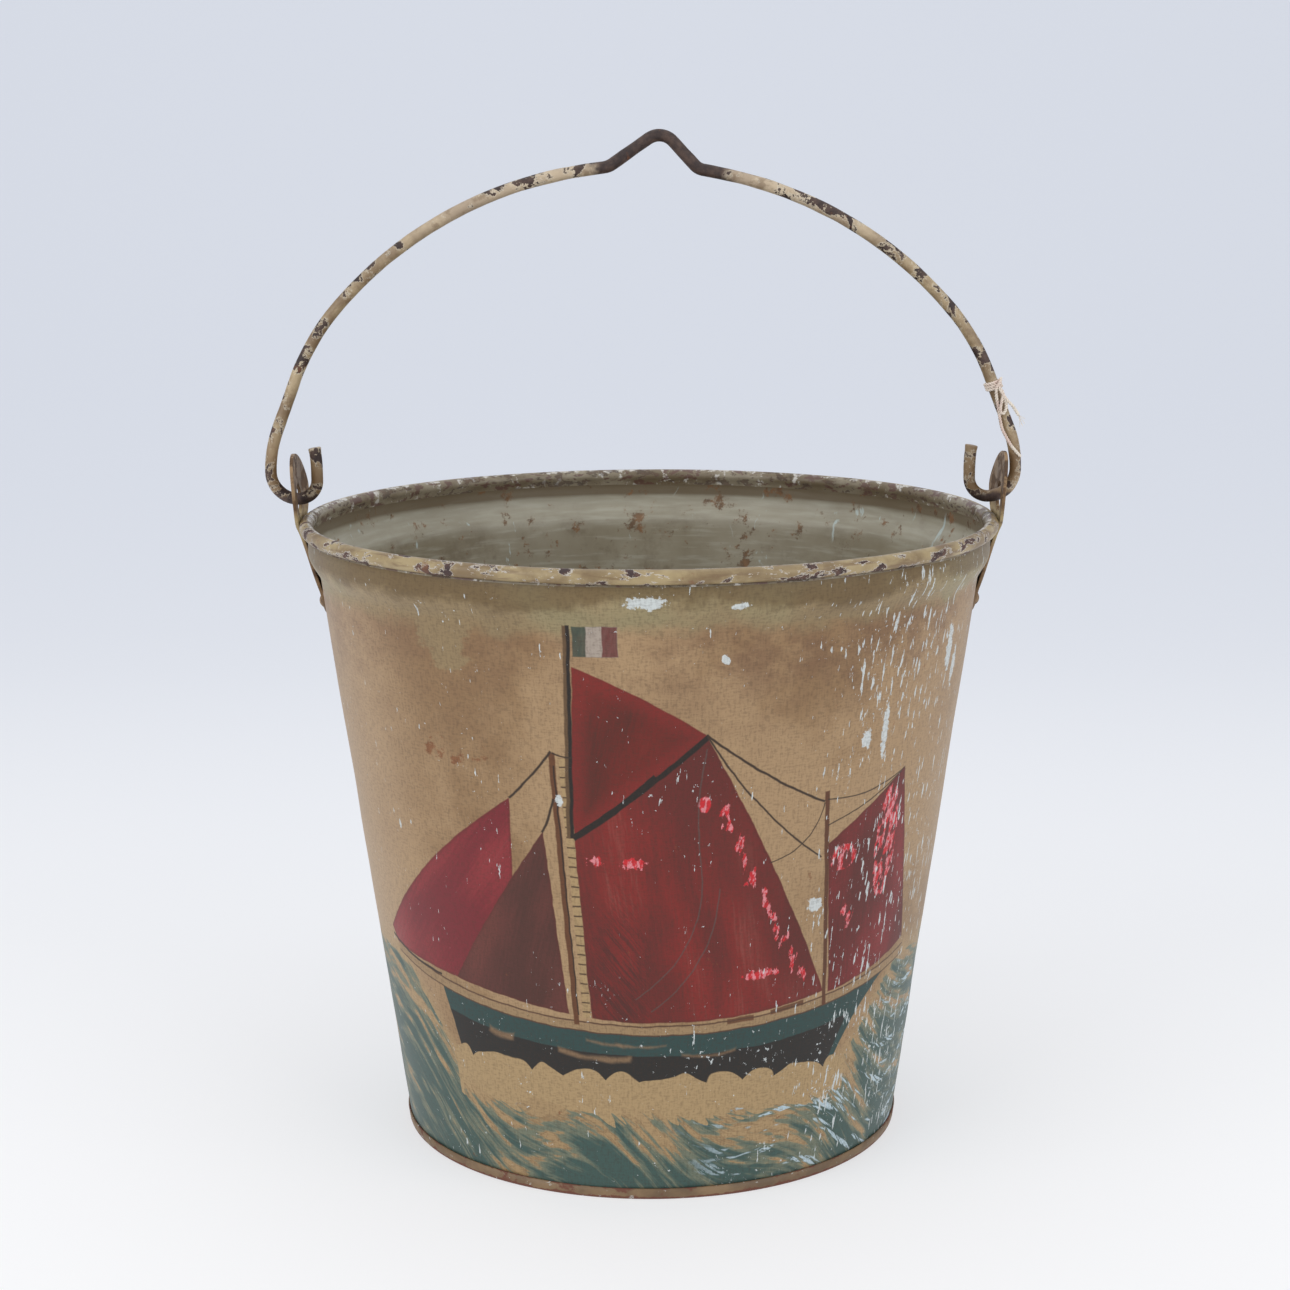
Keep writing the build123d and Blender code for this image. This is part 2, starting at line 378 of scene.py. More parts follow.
def wall_profile():
    rings = [FOLD_Z + (SHOULDER_Z - FOLD_Z) * i / CONE_RINGS for i in range(CONE_RINGS)]
    profile = [(mid_r(z), z) for z in rings]
    for i in range(SHOULDER_RINGS + 1):
        z = SHOULDER_Z + (COLLAR_Z - SHOULDER_Z) * i / SHOULDER_RINGS
        blend = smooth((z - SHOULDER_Z) / (COLLAR_Z - SHOULDER_Z))
        profile.append((mid_r(z) + (COLLAR_R - mid_r(z)) * blend, z))
    profile.append((COLLAR_R, CREASE_Z - 2 * MM))
    profile.append((COLLAR_R, CREASE_Z))
    for i in range(CURL_RINGS + 1):
        angle = CURL_FROM - CURL_SWEEP * i / CURL_RINGS
        profile.append((CURL_CENTRE[0] + CURL_R * cos(angle), CURL_CENTRE[1] + CURL_R * sin(angle)))
    return profile


print("profile points:", len(wall_profile()))

# %% [markdown]
# ## Paint and wear
# Old paint is several things at once: the colour, a fine grain left by the brush, chips that
# show what is underneath, and rust where the metal was laid bare. Each is a small function
# on shader sockets here, so that every finish on the bucket can use it. Chips are made by
# cutting a noise at a level: where the noise is high, the paint is gone.

# %% Shared wear functions
TIN_WHITE = srgb(200, 206, 206)
RUST_LIGHT = srgb(133, 84, 52)


def flat_colour(sock, colour):
    """A plain colour as a socket, to start mixing from."""
    start = sock.make("RGB")
    start.out.default_value = (*colour, 1.0)
    return start


def mottle(spot, light, dark, scale, seed=0.0, low=0.35, high=0.65):
    """Two tones in soft clouds."""
    cloud = spot.noise(scale, detail=5.0, rough=0.6, seed=seed).step(low, high)
    return flat_colour(spot, light).mix(dark, cloud)


def rust_spots(spot, scale, share, seed=0.0):
    """Small ragged spots: 1 on rust. share is from 0, none, to 1, all over."""
    blots = spot.noise(scale, detail=6.0, rough=0.72, seed=seed)
    return blots.step(0.72 - 0.4 * share, 0.80 - 0.4 * share)


def bump(shader, height, strength=0.4, distance=0.0005):
    """Feeds a height into the shader's normal."""
    bent = height.make("Bump", {"Strength": strength, "Distance": distance, "Height": height})
    connect(shader, Normal=bent)


print("wear functions ready")

# %% Rim paint: cream outside and sage inside, chipped along the curl
def rim_paint():
    material, shader, spot = new_material("rim_cream_paint")
    base = mottle(spot, srgb(164, 145, 107), srgb(124, 103, 72), 60.0, seed=1.0)
    streak = spot.noise(90.0, detail=4.0, stretch=(1, 1, 6), seed=4.0)
    base = base.mix(srgb(112, 88, 60), streak.step(0.52, 0.68) * 0.7)
    chips = spot.noise(95.0, detail=7.0, rough=0.68, twist=0.3, stretch=(1, 1, 2.2), seed=7.0)
    bare = chips.step(0.552, 0.562)
    edge = chips.step(0.522, 0.538) - bare
    colour = base.mix(srgb(206, 200, 192), edge * 0.7)
    colour = colour.mix(mottle(spot, srgb(92, 66, 56), srgb(58, 42, 42), 300.0, seed=3.0), bare)
    rusty = spot.noise(40.0, detail=5.0, rough=0.65, seed=9.0).step(0.64, 0.70)
    colour = colour.mix(srgb(120, 78, 52), rusty * 0.8)
    level = spot.make("VectorMath", (spot, (1.0, 1.0, 0.0)), operation="MULTIPLY")
    reach = level.make("VectorMath", (level,), out=1, operation="LENGTH")
    inner = (reach + streak * 0.0016).step(CURL_CENTRE[0] + 0.0010, CURL_CENTRE[0] + 0.0001)
    sage = mottle(spot, srgb(146, 136, 116), srgb(112, 98, 76), 40.0, seed=3.0)
    top_line = spot.make("SeparateXYZ", [spot], out=2).step(HEIGHT - 0.0012, HEIGHT - 0.0002) * 0.10
    flecks = spot.noise(210.0, detail=5.0, rough=0.7, seed=6.0) + top_line
    sage = sage.mix(srgb(206, 202, 194), flecks.step(0.58, 0.64) * 0.9)
    sage = sage.mix(srgb(96, 68, 60), chips.step(0.45, 0.43) * 0.85)
    colour = colour.mix(sage, inner * (1 - bare * 0.6))
    connect(shader, Base_Color=colour, Roughness=0.42 + bare * 0.3)
    bump(shader, chips.step(0.565, 0.545) + streak * 0.25, strength=0.6, distance=0.0003)
    return material


RIM_PAINT = rim_paint()
print(RIM_PAINT.name)


# %% Inside paint: sage grey with rust and scuffs, painted shade under the rim and a painted highlight on the shoulder
def inside_paint():
    material, shader, spot = new_material("inside_sage_paint")
    height = spot.make("SeparateXYZ", [spot], out=2)
    base = mottle(spot, srgb(150, 142, 122), srgb(126, 116, 94), 14.0, seed=2.0)
    brushed = spot.noise(55.0, detail=4.0, stretch=(1, 1, 9), seed=5.0)
    base = base.mix(srgb(166, 162, 146), brushed.step(0.50, 0.72) * 0.5)
    grime = spot.noise(28.0, detail=6.0, rough=0.7, seed=8.0)
    # The dark band round the collar under the rim is painted shade and dirt. It shares its brown with the
    # grime clouds, which are dirt.
    collar = (height + grime * 0.004).step(0.2395, 0.2425)
    base = base.mix(srgb(98, 82, 60), (grime.step(0.50, 0.66) * 0.55).max(collar * 0.75))
    # The shoulder is painted a lighter sage: a painted highlight where the bend catches the light.
    shoulder = height.step(0.224, 0.231) * height.step(0.2405, 0.2385)
    base = base.mix(srgb(176, 172, 156), shoulder * (brushed * 0.8 + 0.1))
    rust = rust_spots(spot, 105.0, 0.385, seed=3.0)
    colour = base.mix(mottle(spot, srgb(132, 92, 58), srgb(88, 64, 44), 200.0), rust * 0.85)
    scuff = spot.noise(105.0, detail=5.0, rough=0.62, twist=0.6, stretch=(1, 1, 0.4), seed=12.0)
    colour = colour.mix(srgb(186, 200, 198), scuff.step(0.645, 0.70) * 0.75)
    connect(shader, Base_Color=colour, Roughness=0.48 + rust * 0.3)
    bump(shader, brushed * 0.4 + rust * 0.5, strength=0.35, distance=0.0003)
    return material


INSIDE_PAINT = inside_paint()
print(INSIDE_PAINT.name)

# %% [markdown]
# ## The picture
# The boat was painted by hand on the finished bucket, so it follows the wall like a label. Its
# canvas is the wall unrolled: one axis runs round the wall, the other one up it. On that flat
# canvas a sail is what lies inside a few edges at once. Each edge is one Vector Math node, which
# gives how many millimetres a point lies beyond it, and the largest of those numbers is negative
# only inside the sail. Brush lines and arcs are made the same way. A little noise on the canvas
# itself makes every edge as unsteady as a hand. The canvas is cut along the right seam, so the
# picture runs on unbroken from there round the back. The layers go on in the order a painter uses:
# ground, sea, hull, sails, spars, rigging.

# %% The canvas
MM_PER_DEGREE = 2.06
EDGE_SOFT = 0.28


def at(angle, height):
    """A canvas point: degrees round the wall from the middle of the front, and height in mm."""
    return Vector((angle * MM_PER_DEGREE, height))


def unroll(spot, wobble, size):
    """The canvas place of each point of the wall, with unsteady edges."""
    parts = [spot.make("SeparateXYZ", [spot], out=i) for i in range(3)]
    turn = spot.math("ARCTAN2", parts[0], -parts[1]) * degrees(1.0)
    round_wall = (turn - turn.math("GREATER_THAN", turn, 90.0) * 360.0) * MM_PER_DEGREE
    flat = spot.make("CombineXYZ", [round_wall, parts[2] * 1000.0, 1.0])
    shake = flat.make("TexNoise", {"Vector": flat, "Scale": 1 / size, "Detail": 2.0}, out=1)
    scale = (wobble, wobble, 0.0)
    shaken = flat.make("VectorMath", (shake, scale, flat), operation="MULTIPLY_ADD")
    half = (-wobble / 2, -wobble / 2, 0.0)
    return flat, shaken.make("VectorMath", (shaken, half), operation="ADD")


def edge(canvas, start, end, bow=0.0):
    """How far a point lies left of the edge from start to end, which may bow out to the left."""
    along = end - start
    left = Vector((-along.y, along.x)).normalized()
    if bow == 0.0:
        return canvas.make("VectorMath", (canvas, (*left, -left.dot(start))), out=1, operation="DOT_PRODUCT")
    radius = ((along.length / 2) ** 2 + bow**2) / (2 * bow)
    centre = (start + end) / 2 + left * (bow - radius)
    reach = canvas.make("VectorMath", (canvas, (*centre, 1.0)), out=1, operation="DISTANCE")
    return reach - radius if bow > 0 else -reach - radius


def outline(canvas, corners):
    """Distance outside a shape, its corners going clockwise as (angle, height, bow of next edge)."""
    field = None
    for here, there in zip(corners, corners[1:] + corners[:1]):
        side = edge(canvas, at(*here[:2]), at(*there[:2]), here[2] if len(here) > 2 else 0.0)
        field = side if field is None else field.max(side)
    return field


def brush_line(canvas, start, end, width, sag=0.0):
    """Distance outside a line of paint, which hangs under its chord by sag at mid-length."""
    along = (end - start).normalized()
    up = Vector((-along.y, along.x)) * (1 if along.x >= 0 else -1)
    half = (end - start).length / 2
    middle = (start + end) / 2
    far = canvas.make("VectorMath", (canvas, (*along, -along.dot(middle))), out=1, operation="DOT_PRODUCT")
    off = canvas.make("VectorMath", (canvas, (*up, -up.dot(middle))), out=1, operation="DOT_PRODUCT")
    if sag:
        off = off + sag - far * far * (sag / half**2)
    return (abs(off) - width / 2).max(abs(far) - half)


def streaks(canvas, slope, fine, long=8.0, seed=0.0, detail=3.0):
    """Brush marks: noise drawn out along a slope in degrees, fine mm apart."""
    turned = {0: canvas, 1: (seed * 170, seed * 90, 0), 2: (0, 0, radians(slope)),
              3: (fine * long, fine, 1.0)}
    place = canvas.make("Mapping", turned, vector_type="TEXTURE")
    return place.make("TexNoise", {"Vector": place, "Scale": 1.0, "Detail": detail, "Roughness": 0.6})


def blob(canvas, centre, width, height, ragged, amount):
    """A rough patch: 1 in the middle and 0 outside."""
    stretched = (2 / width, 2 / height, 0.0)
    place = canvas.make("VectorMath", (canvas, (-centre.x, -centre.y, 0.0)), operation="ADD")
    place = place.make("VectorMath", (place, stretched), operation="MULTIPLY")
    reach = place.make("VectorMath", (place,), out=1, operation="LENGTH")
    return (reach + (ragged - 0.5) * amount).under(1.0, 0.12)


def lay(colour, field, paint):
    """Puts a paint on where a field is below zero."""
    return colour.mix(paint, field.under(0.0, EDGE_SOFT))


print("a degree of wall is", MM_PER_DEGREE, "mm of canvas")

# %% Ground: khaki, with an olive top, a short olive run and brown clouds, a painted highlight on the left side and painted shade on the collar under the rim
KHAKI = srgb(161, 132, 97)
KHAKI_DARK = srgb(133, 104, 73)
# LEFT_TAN is the painted highlight on the left side of the wall. It also lightens a few random clouds.
LEFT_TAN = srgb(172, 145, 114)
OLIVE = srgb(146, 135, 101)
# OLIVE_SHADE is the painted shade on the collar under the rim.
OLIVE_SHADE = srgb(100, 80, 50)
SMEAR_BROWN = srgb(112, 82, 60)


def ground(flat, parts, spot):
    round_wall, height = parts
    cloud = spot.noise(13.0, detail=5.0, rough=0.62, seed=0.4)
    colour = flat_colour(spot, KHAKI).mix(KHAKI_DARK, cloud.step(0.42, 0.64) * 0.85)
    # The left side of the wall is painted a lighter tan: a painted highlight where the stronger left light
    # falls.
    left_side_highlight = round_wall.step(-78.0, -135.0) * 0.8
    colour = colour.mix(LEFT_TAN, left_side_highlight.max(cloud.step(0.60, 0.44) * 0.25))
    smear = spot.noise(21.0, detail=4.0, rough=0.7, stretch=(1, 1, 1.6), seed=6.0)
    high = height.step(150.0, 226.0)
    fine_smear = spot.noise(60.0, detail=5.0, rough=0.72, stretch=(1, 1, 1.3), seed=7.0)
    colour = colour.mix(SMEAR_BROWN, (smear * 0.5 + fine_smear * 0.5).step(0.42, 0.64) * high * 0.45)
    soot = (round_wall - 22.0).step(-30.0, 10.0) * (150.0 - round_wall).step(0.0, 40.0)
    soot = soot * height.step(196.0, 216.0) * fine_smear.step(0.34, 0.62)
    colour = colour.mix(SMEAR_BROWN, soot * 0.5)
    drip = blob(flat, at(-36.0, 230.0), 24.0, 34.0, fine_smear, 2.6)
    edge_height = height + smear * 22.0 + fine_smear * 8.0
    olive = edge_height.step(239.0, 246.0)
    colour = colour.mix(OLIVE, (olive * (cloud.step(0.62, 0.40) * 0.5 + 0.45)).max(drip * 0.4))
    # The collar under the rim is painted dark olive-brown: painted shade under the rim.
    collar = edge_height.step(248.5, 254.0) * (cloud * 0.5 + 0.45)
    return colour.mix(OLIVE_SHADE, collar)


# %% Sea: feathered teal strokes over the ground, with crests left bare
TEAL = srgb(48, 78, 76)
TEAL_PALE = srgb(98, 112, 98)
FOAM = srgb(166, 140, 102)
PALE_BLUE = srgb(176, 194, 202)
SEA_MIDDLE = 47.0
SEA_SIDES = 86.0
SWELL = 96.0
SWELL_HEIGHT = 7.0
SCALLOP = 19.0


def small_breaks(canvas):
    """Fine unevenness that makes a dry brush skip."""
    return canvas.noise(0.8, detail=3.0, seed=3.0)


def sea(canvas, parts, colour):
    round_wall, height = parts
    off_middle = abs(round_wall)
    top = off_middle.step(80.0, 128.0) * (SEA_SIDES - SEA_MIDDLE) + SEA_MIDDLE
    depth = top - height
    roll = round_wall.math("SINE", round_wall * (2 * pi / SWELL)) * SWELL_HEIGHT
    swell = canvas.make("CombineXYZ", [round_wall, height + roll, 1.0])
    long_marks = streaks(swell, -36.0, 7.5, long=5.5, seed=1.0, detail=2.0)
    fine = streaks(swell, -33.0, 1.2, long=14.0, seed=3.0, detail=2.0)
    wave_marks = streaks(swell, -14.0, 4.6, long=6.0, seed=2.0, detail=2.0)
    marks = long_marks * 0.7 + wave_marks * 0.3 + (fine - 0.5) * 0.22
    sides = off_middle.step(70.0, 100.0) * 0.03
    wet = marks + depth.step(-6.0, 4.0) * 0.5 + depth.step(0.0, 36.0) * 0.10 + sides
    colour = colour.mix(FOAM, depth.step(-8.0, 4.0) * 0.75)
    colour = colour.mix(TEAL_PALE, wet.step(1.00, 1.05) * 0.85)
    colour = colour.mix(TEAL, (wet - wave_marks * 0.12).step(0.99, 1.09) * 0.85)
    crest = wet.step(0.985, 0.995) - wet.step(1.0, 1.02)
    colour = colour.mix(srgb(122, 96, 68), crest * depth.step(2.0, 10.0) * 0.5)
    blue = wave_marks.step(0.56, 0.62) * (fine + small_breaks(canvas) * 0.3).step(0.58, 0.66)
    blue = blue * round_wall.step(2.0, 50.0) * depth.step(2.0, 14.0)
    return colour.mix(PALE_BLUE, blue * (190.0 - round_wall).step(0.0, 40.0)), long_marks


# %% Hull: a black bottom, a teal strake and a cream rail on one long sheer curve
HULL_BLACK = srgb(42, 40, 38)
HULL_TEAL = srgb(48, 70, 68)
RAIL_CREAM = srgb(150, 124, 92)
LINE_BLACK = srgb(38, 33, 30)
SHEER_LOW = 71.5
SHEER_RISE = 0.00094
SHEER_MIDDLE = 4.0
GLINTS = [
    (at(-34.5, 66.0), at(-28.5, 64.0), 3.4),
    (at(-19.0, 61.5), at(-4.0, 59.0), 2.6),
    (at(-13.0, 66.5), at(3.0, 65.0), 1.1),
    (at(6.0, 61.0), at(17.0, 61.5), 1.3),
]
RAIL_BLOCKS = [(at(15.0, 73.4), at(20.5, 74.2)), (at(24.0, 75.0), at(31.5, 77.0))]


def hull(canvas, parts, colour, long_marks):
    round_wall, height = parts
    from_middle = round_wall - SHEER_MIDDLE
    over_rail = height - SHEER_LOW - from_middle * from_middle * SHEER_RISE
    stem = edge(canvas, at(-42.0, 50.0), at(-47.0, 84.0))
    stern = edge(canvas, at(60.0, 86.0), at(40.5, 50.0), bow=-5.0)
    ends = stem.max(stern)
    side = over_rail.max(ends).max(46.0 - height).max(abs(round_wall) - 128.0)
    colour = lay(colour, side, HULL_TEAL)
    low = (over_rail + 11.0).max(side).max(edge(canvas, at(44.0, 70.0), at(38.0, 46.0)))
    colour = lay(colour, low, HULL_BLACK)
    for start, end, width in GLINTS:
        glint = brush_line(canvas, start, end, width, sag=1.2) + long_marks * 2.4 - 0.9
        colour = colour.mix(srgb(140, 112, 84), glint.under(0.0, 0.9) * 0.75)
    rail = (abs(over_rail + 0.6) - 1.7).max(abs(round_wall) - 127.0)
    colour = lay(colour, rail, RAIL_CREAM)
    for start, end in RAIL_BLOCKS:
        rail_block = brush_line(canvas, start, end, 2.2)
        colour = lay(colour, rail_block, srgb(104, 70, 48))
    lines = (abs(over_rail - 1.4) - 0.3).min(abs(over_rail + 2.4) - 0.25).max(abs(round_wall) - 127.0)
    colour = lay(colour, lines, srgb(84, 58, 44))
    uneven = round_wall + (canvas.noise(0.035, detail=1.0, seed=5.0) - 0.5) * 44.0
    scallops = uneven.math("PINGPONG", uneven, SCALLOP / 2) * (2 * pi / SCALLOP / 2)
    humps = round_wall.math("SINE", scallops) * 4.2
    foam_line = height - 49.5 - humps + round_wall * 0.03
    foam_line = foam_line.max(abs(round_wall) - 92.0).max(35.0 - height - (long_marks - 0.5) * 34.0)
    return lay(colour, foam_line, FOAM)


# %% Sails
CRIMSON = srgb(136, 48, 52)
SAIL_RED = srgb(124, 40, 36)
SAIL_DEEP = srgb(88, 40, 36)
SAIL_BROWN = srgb(94, 52, 46)
SAIL_ROSE = srgb(146, 84, 74)
TOPSAIL = [(-12.4, 214.0, 1.5), (9.5, 188.0, 1.5), (-13.9, 147.5)]
MAINSAIL = [(-13.9, 147.5, -0.6), (9.5, 187.5), (36.0, 80.0, 3.0), (-11.5, 75.5)]
FORESAIL = [(-19.0, 150.0), (-16.2, 76.5), (-41.5, 84.0)]
JIB = [(-25.0, 162.0), (-26.5, 80.5), (-62.0, 88.5), (-64.0, 94.0, 2.4)]
MIZZEN = [(33.6, 140.5), (52.0, 164.5), (60.8, 90.5, 1.2), (37.4, 79.0)]
SAIL_NICKS = [(-3.0, 138.5, 7.5, 3.4), (-9.8, 139.5, 5.5, 3.2), (21.5, 91.5, 13.0, 3.4)]


def sail(canvas, colour, corners, base, shadow, light, slope, seed):
    """A sail in three tones, which its brush marks drag into each other along one slope."""
    field = outline(canvas, corners)
    marks = streaks(canvas, slope, 1.1, long=16.0, seed=seed)
    broad = streaks(canvas, slope, 22.0, long=2.2, seed=seed + 5, detail=1.0)
    paint = flat_colour(canvas, base).mix(shadow, (broad + marks * 0.35).step(0.52, 0.82) * 0.9)
    paint = paint.mix(light, (marks * 0.5 + 0.66 - broad).step(0.48, 0.70) * 0.42)
    rim = field.step(-1.4, -0.2) * 0.45
    paint = paint.mix(SAIL_DEEP, rim)
    return colour.mix(paint, field.under(0.0, EDGE_SOFT)), field


def sails(canvas, colour):
    colour, _ = sail(canvas, colour, JIB, CRIMSON, srgb(112, 38, 44), srgb(150, 84, 82), 50.0, 1.0)
    colour, _ = sail(canvas, colour, FORESAIL, SAIL_BROWN, srgb(76, 46, 40), srgb(112, 60, 52), 74.0, 2.0)
    colour, top = sail(canvas, colour, TOPSAIL, srgb(104, 36, 30), srgb(80, 38, 31), srgb(122, 46, 38),
                       78.0, 3.0)
    bright_edge = top.step(-9.0, -1.0) * top.under(0.0, 0.4) * 0.7
    colour = colour.mix(SAIL_RED, bright_edge)
    colour, main = sail(canvas, colour, MAINSAIL, SAIL_RED, srgb(96, 40, 36), SAIL_ROSE, 98.0, 4.0)
    leech = edge(canvas, at(9.5, 187.5), at(36.0, 80.0)).step(-30.0, -6.0) * main.under(0.0, 0.4)
    colour = colour.mix(SAIL_DEEP, leech * 0.55)
    hatching = streaks(canvas, 128.0, 1.0, long=18.0, seed=12.0).step(0.40, 0.62)
    luff_shade = blob(canvas, at(-6.0, 92.0), 26.0, 70.0, hatching, 0.8) * main.under(0.0, 0.4)
    colour = colour.mix(srgb(74, 40, 37), luff_shade * hatching * 0.75)
    colour, mizzen = sail(canvas, colour, MIZZEN, srgb(118, 42, 42), SAIL_DEEP, srgb(142, 56, 56), 92.0, 6.0)
    bright = streaks(canvas, 84.0, 3.2, long=2.4, seed=8.0, detail=6.0)
    down_leech = brush_line(canvas, at(12.5, 160.0), at(31.5, 85.0), 4.0, sag=2.0).step(5.5, -2.5)
    on_mizzen = blob(canvas, at(49.0, 136.0), 15.0, 52.0, bright, 1.3)
    on_mizzen = on_mizzen.max(blob(canvas, at(37.5, 134.0), 15.0, 12.0, bright, 1.6))
    low_tear = blob(canvas, at(40.0, 112.0), 10.0, 22.0, bright, 2.4) * 0.8
    on_mizzen = on_mizzen.max(low_tear) * mizzen.under(-1.0, 0.3)
    torn = (bright + canvas.noise(0.5, detail=4.0, rough=0.7, seed=13.0)) * 0.5
    nicks = blob(canvas, at(9.3, 161.5), 4.4, 6.0, bright, 1.4)
    for angle, z, width, tall in SAIL_NICKS:
        nicks = nicks.max(blob(canvas, at(angle, z), width, tall, torn, 6.0))
    patches = (down_leech * main.under(-0.5, 0.3)).max(on_mizzen)
    worn = (bright + patches * 0.32).step(0.79, 0.83).max(nicks * main.under(-0.5, 0.3))
    colour = colour.mix(srgb(196, 38, 46), worn * 0.92)
    pink = streaks(canvas, 80.0, 1.6, long=2.0, seed=9.0, detail=4.0).step(0.46, 0.56)
    return colour.mix(srgb(214, 140, 146), worn * pink * 0.85)


# %% Spars, rigging and a plain banded pennant
SPARS = [
    (at(-13.2, 229.5), at(-14.2, 148.0), 1.9, 0.0, srgb(96, 74, 52)),
    (at(-12.8, 229.8), at(-13.7, 148.0), 1.3, 0.0, LINE_BLACK),
    (at(-16.7, 181.0), at(-14.7, 72.5), 2.3, 0.0, srgb(98, 62, 40)),
    (at(-16.4, 176.0), at(-14.2, 76.5), 0.5, 0.0, LINE_BLACK),
    (at(-13.6, 148.2), at(9.8, 188.0), 2.0, 1.4, LINE_BLACK),
    (at(-13.6, 148.0), at(1.0, 172.6), 2.5, 1.0, LINE_BLACK),
    (at(32.3, 162.0), at(36.6, 74.0), 1.9, 0.0, srgb(92, 58, 40)),
]
ROPES = [
    (at(9.5, 188.0), at(32.0, 158.0), 0.9, 2.0),
    (at(9.5, 188.0), at(32.4, 135.5), 0.7, 4.0),
    (at(32.0, 157.5), at(21.8, 136.5), 0.5, 5.0),
    (at(32.6, 158.5), at(51.8, 164.0), 0.5, 2.5),
    (at(33.2, 148.0), at(51.0, 163.0), 0.5, 1.0),
    (at(-16.8, 181.5), at(-25.0, 162.0), 0.9, 0.8),
    (at(-16.8, 163.0), at(-19.2, 149.5), 0.9, 0.6),
    (at(-16.6, 181.0), at(-13.2, 179.5), 0.6, 0.4),
    (at(-64.0, 91.0), at(-46.0, 83.0), 1.0, 1.0),
]
LADDER = (at(-14.7, 179.0), at(-12.5, 75.5), 3.1)
RUNG_GAP = 3.9


def rigging(canvas, parts, colour):
    round_wall, height = parts
    strip = brush_line(canvas, *LADDER)
    colour = lay(colour, strip, srgb(164, 138, 100))
    rungs = abs(height.math("PINGPONG", height, RUNG_GAP / 2)) - 0.28
    colour = lay(colour, rungs.max(strip), srgb(70, 52, 40))
    for start, end, width, sag, paint in SPARS:
        colour = lay(colour, brush_line(canvas, start, end, width, sag), paint)
    knots = None
    for start, end, width, sag in ROPES:
        rope = brush_line(canvas, start, end, width, sag)
        knots = rope if knots is None else knots.min(rope)
    colour = lay(colour, knots, srgb(56, 44, 36))
    seams = brush_line(canvas, at(9.5, 183.0), at(9.0, 138.0), 0.5, sag=-2.0)
    seams = seams.min(brush_line(canvas, at(9.0, 138.0), at(-3.0, 84.0), 0.5, sag=9.0))
    seams = seams.min(brush_line(canvas, at(12.5, 128.0), at(0.0, 79.0), 0.5, sag=7.0))
    seams = seams.max(abs(round_wall) - 60.0)
    colour = colour.mix(srgb(84, 74, 70), seams.under(0.0, EDGE_SOFT) * 0.7)
    return pennant(canvas, colour)


def pennant(canvas, colour):
    cloth = outline(canvas, [(-12.2, 229.2), (-5.0, 229.4), (-5.0, 218.2), (-12.2, 217.8)])
    marks = streaks(canvas, 80.0, 1.2, long=6.0, seed=14.0)
    for angle, paint in ((-12.4, srgb(48, 66, 60)), (-10.0, srgb(170, 156, 144)), (-7.5, srgb(96, 34, 32))):
        band = edge(canvas, at(angle, 217.0), at(angle, 230.0)).max(cloth)
        colour = colour.mix(paint, band.under(0.0, EDGE_SOFT) * (0.72 + 0.28 * marks))
    return colour


# %% Wear on the picture: scratches, chips, rust and grime
RAGGED = 3.6
FIRST_CHIP = (at(-0.5, 238.8), 13.0, 4.4)
CHIP_SWELL = 1.25
CHIPS = [(32.0, 116.5, 5.0, 4.4), (12.0, 216.5, 2.6, 2.4), (40.0, 180.0, 3.4, 6.0),
         (63.0, 208.0, 3.6, 15.0), (66.5, 198.0, 3.0, 12.0), (14.0, 237.0, 4.6, 2.0),
         (44.5, 182.0, 2.2, 17.0), (-15.8, 163.0, 2.2, 3.6)]


def worn_picture(flat, parts, spot, colour):
    round_wall, height = parts
    right = round_wall.step(34.0, 92.0) * round_wall.step(178.0, 130.0)
    tall = streaks(flat, 88.0, 1.9, long=4.6, seed=20.0, detail=5.0)
    small = flat.noise(0.42, detail=5.0, rough=0.7, seed=21.0)
    crowd = flat.noise(0.035, detail=3.0, rough=0.6, seed=22.0)
    chips = (tall + right * 0.080 + crowd * 0.26).step(0.812, 0.827)
    low = height.step(90.0, 60.0) * 0.03
    specks = (small + right * 0.03 + low + crowd * 0.26).step(0.835, 0.850)
    broken = small * 0.7 + tall * 0.3
    big = blob(flat, *FIRST_CHIP, broken, RAGGED)
    for angle, z, wide, high in CHIPS:
        big = big.max(blob(flat, at(angle, z), wide * CHIP_SWELL, high * CHIP_SWELL, broken, RAGGED))
    bare = chips.max(specks).max(big)
    stain = spot.noise(95.0, detail=5.0, rough=0.72, seed=30.0)
    cluster = blob(flat, at(-35.0, 178.0), 34.0, 14.0, crowd, 1.6)
    rust = (stain + cluster * 0.16).step(0.67, 0.74)
    colour = colour.mix(srgb(122, 74, 48), rust * 0.75)
    return colour.mix(TIN_WHITE, bare * 0.92), bare, rust


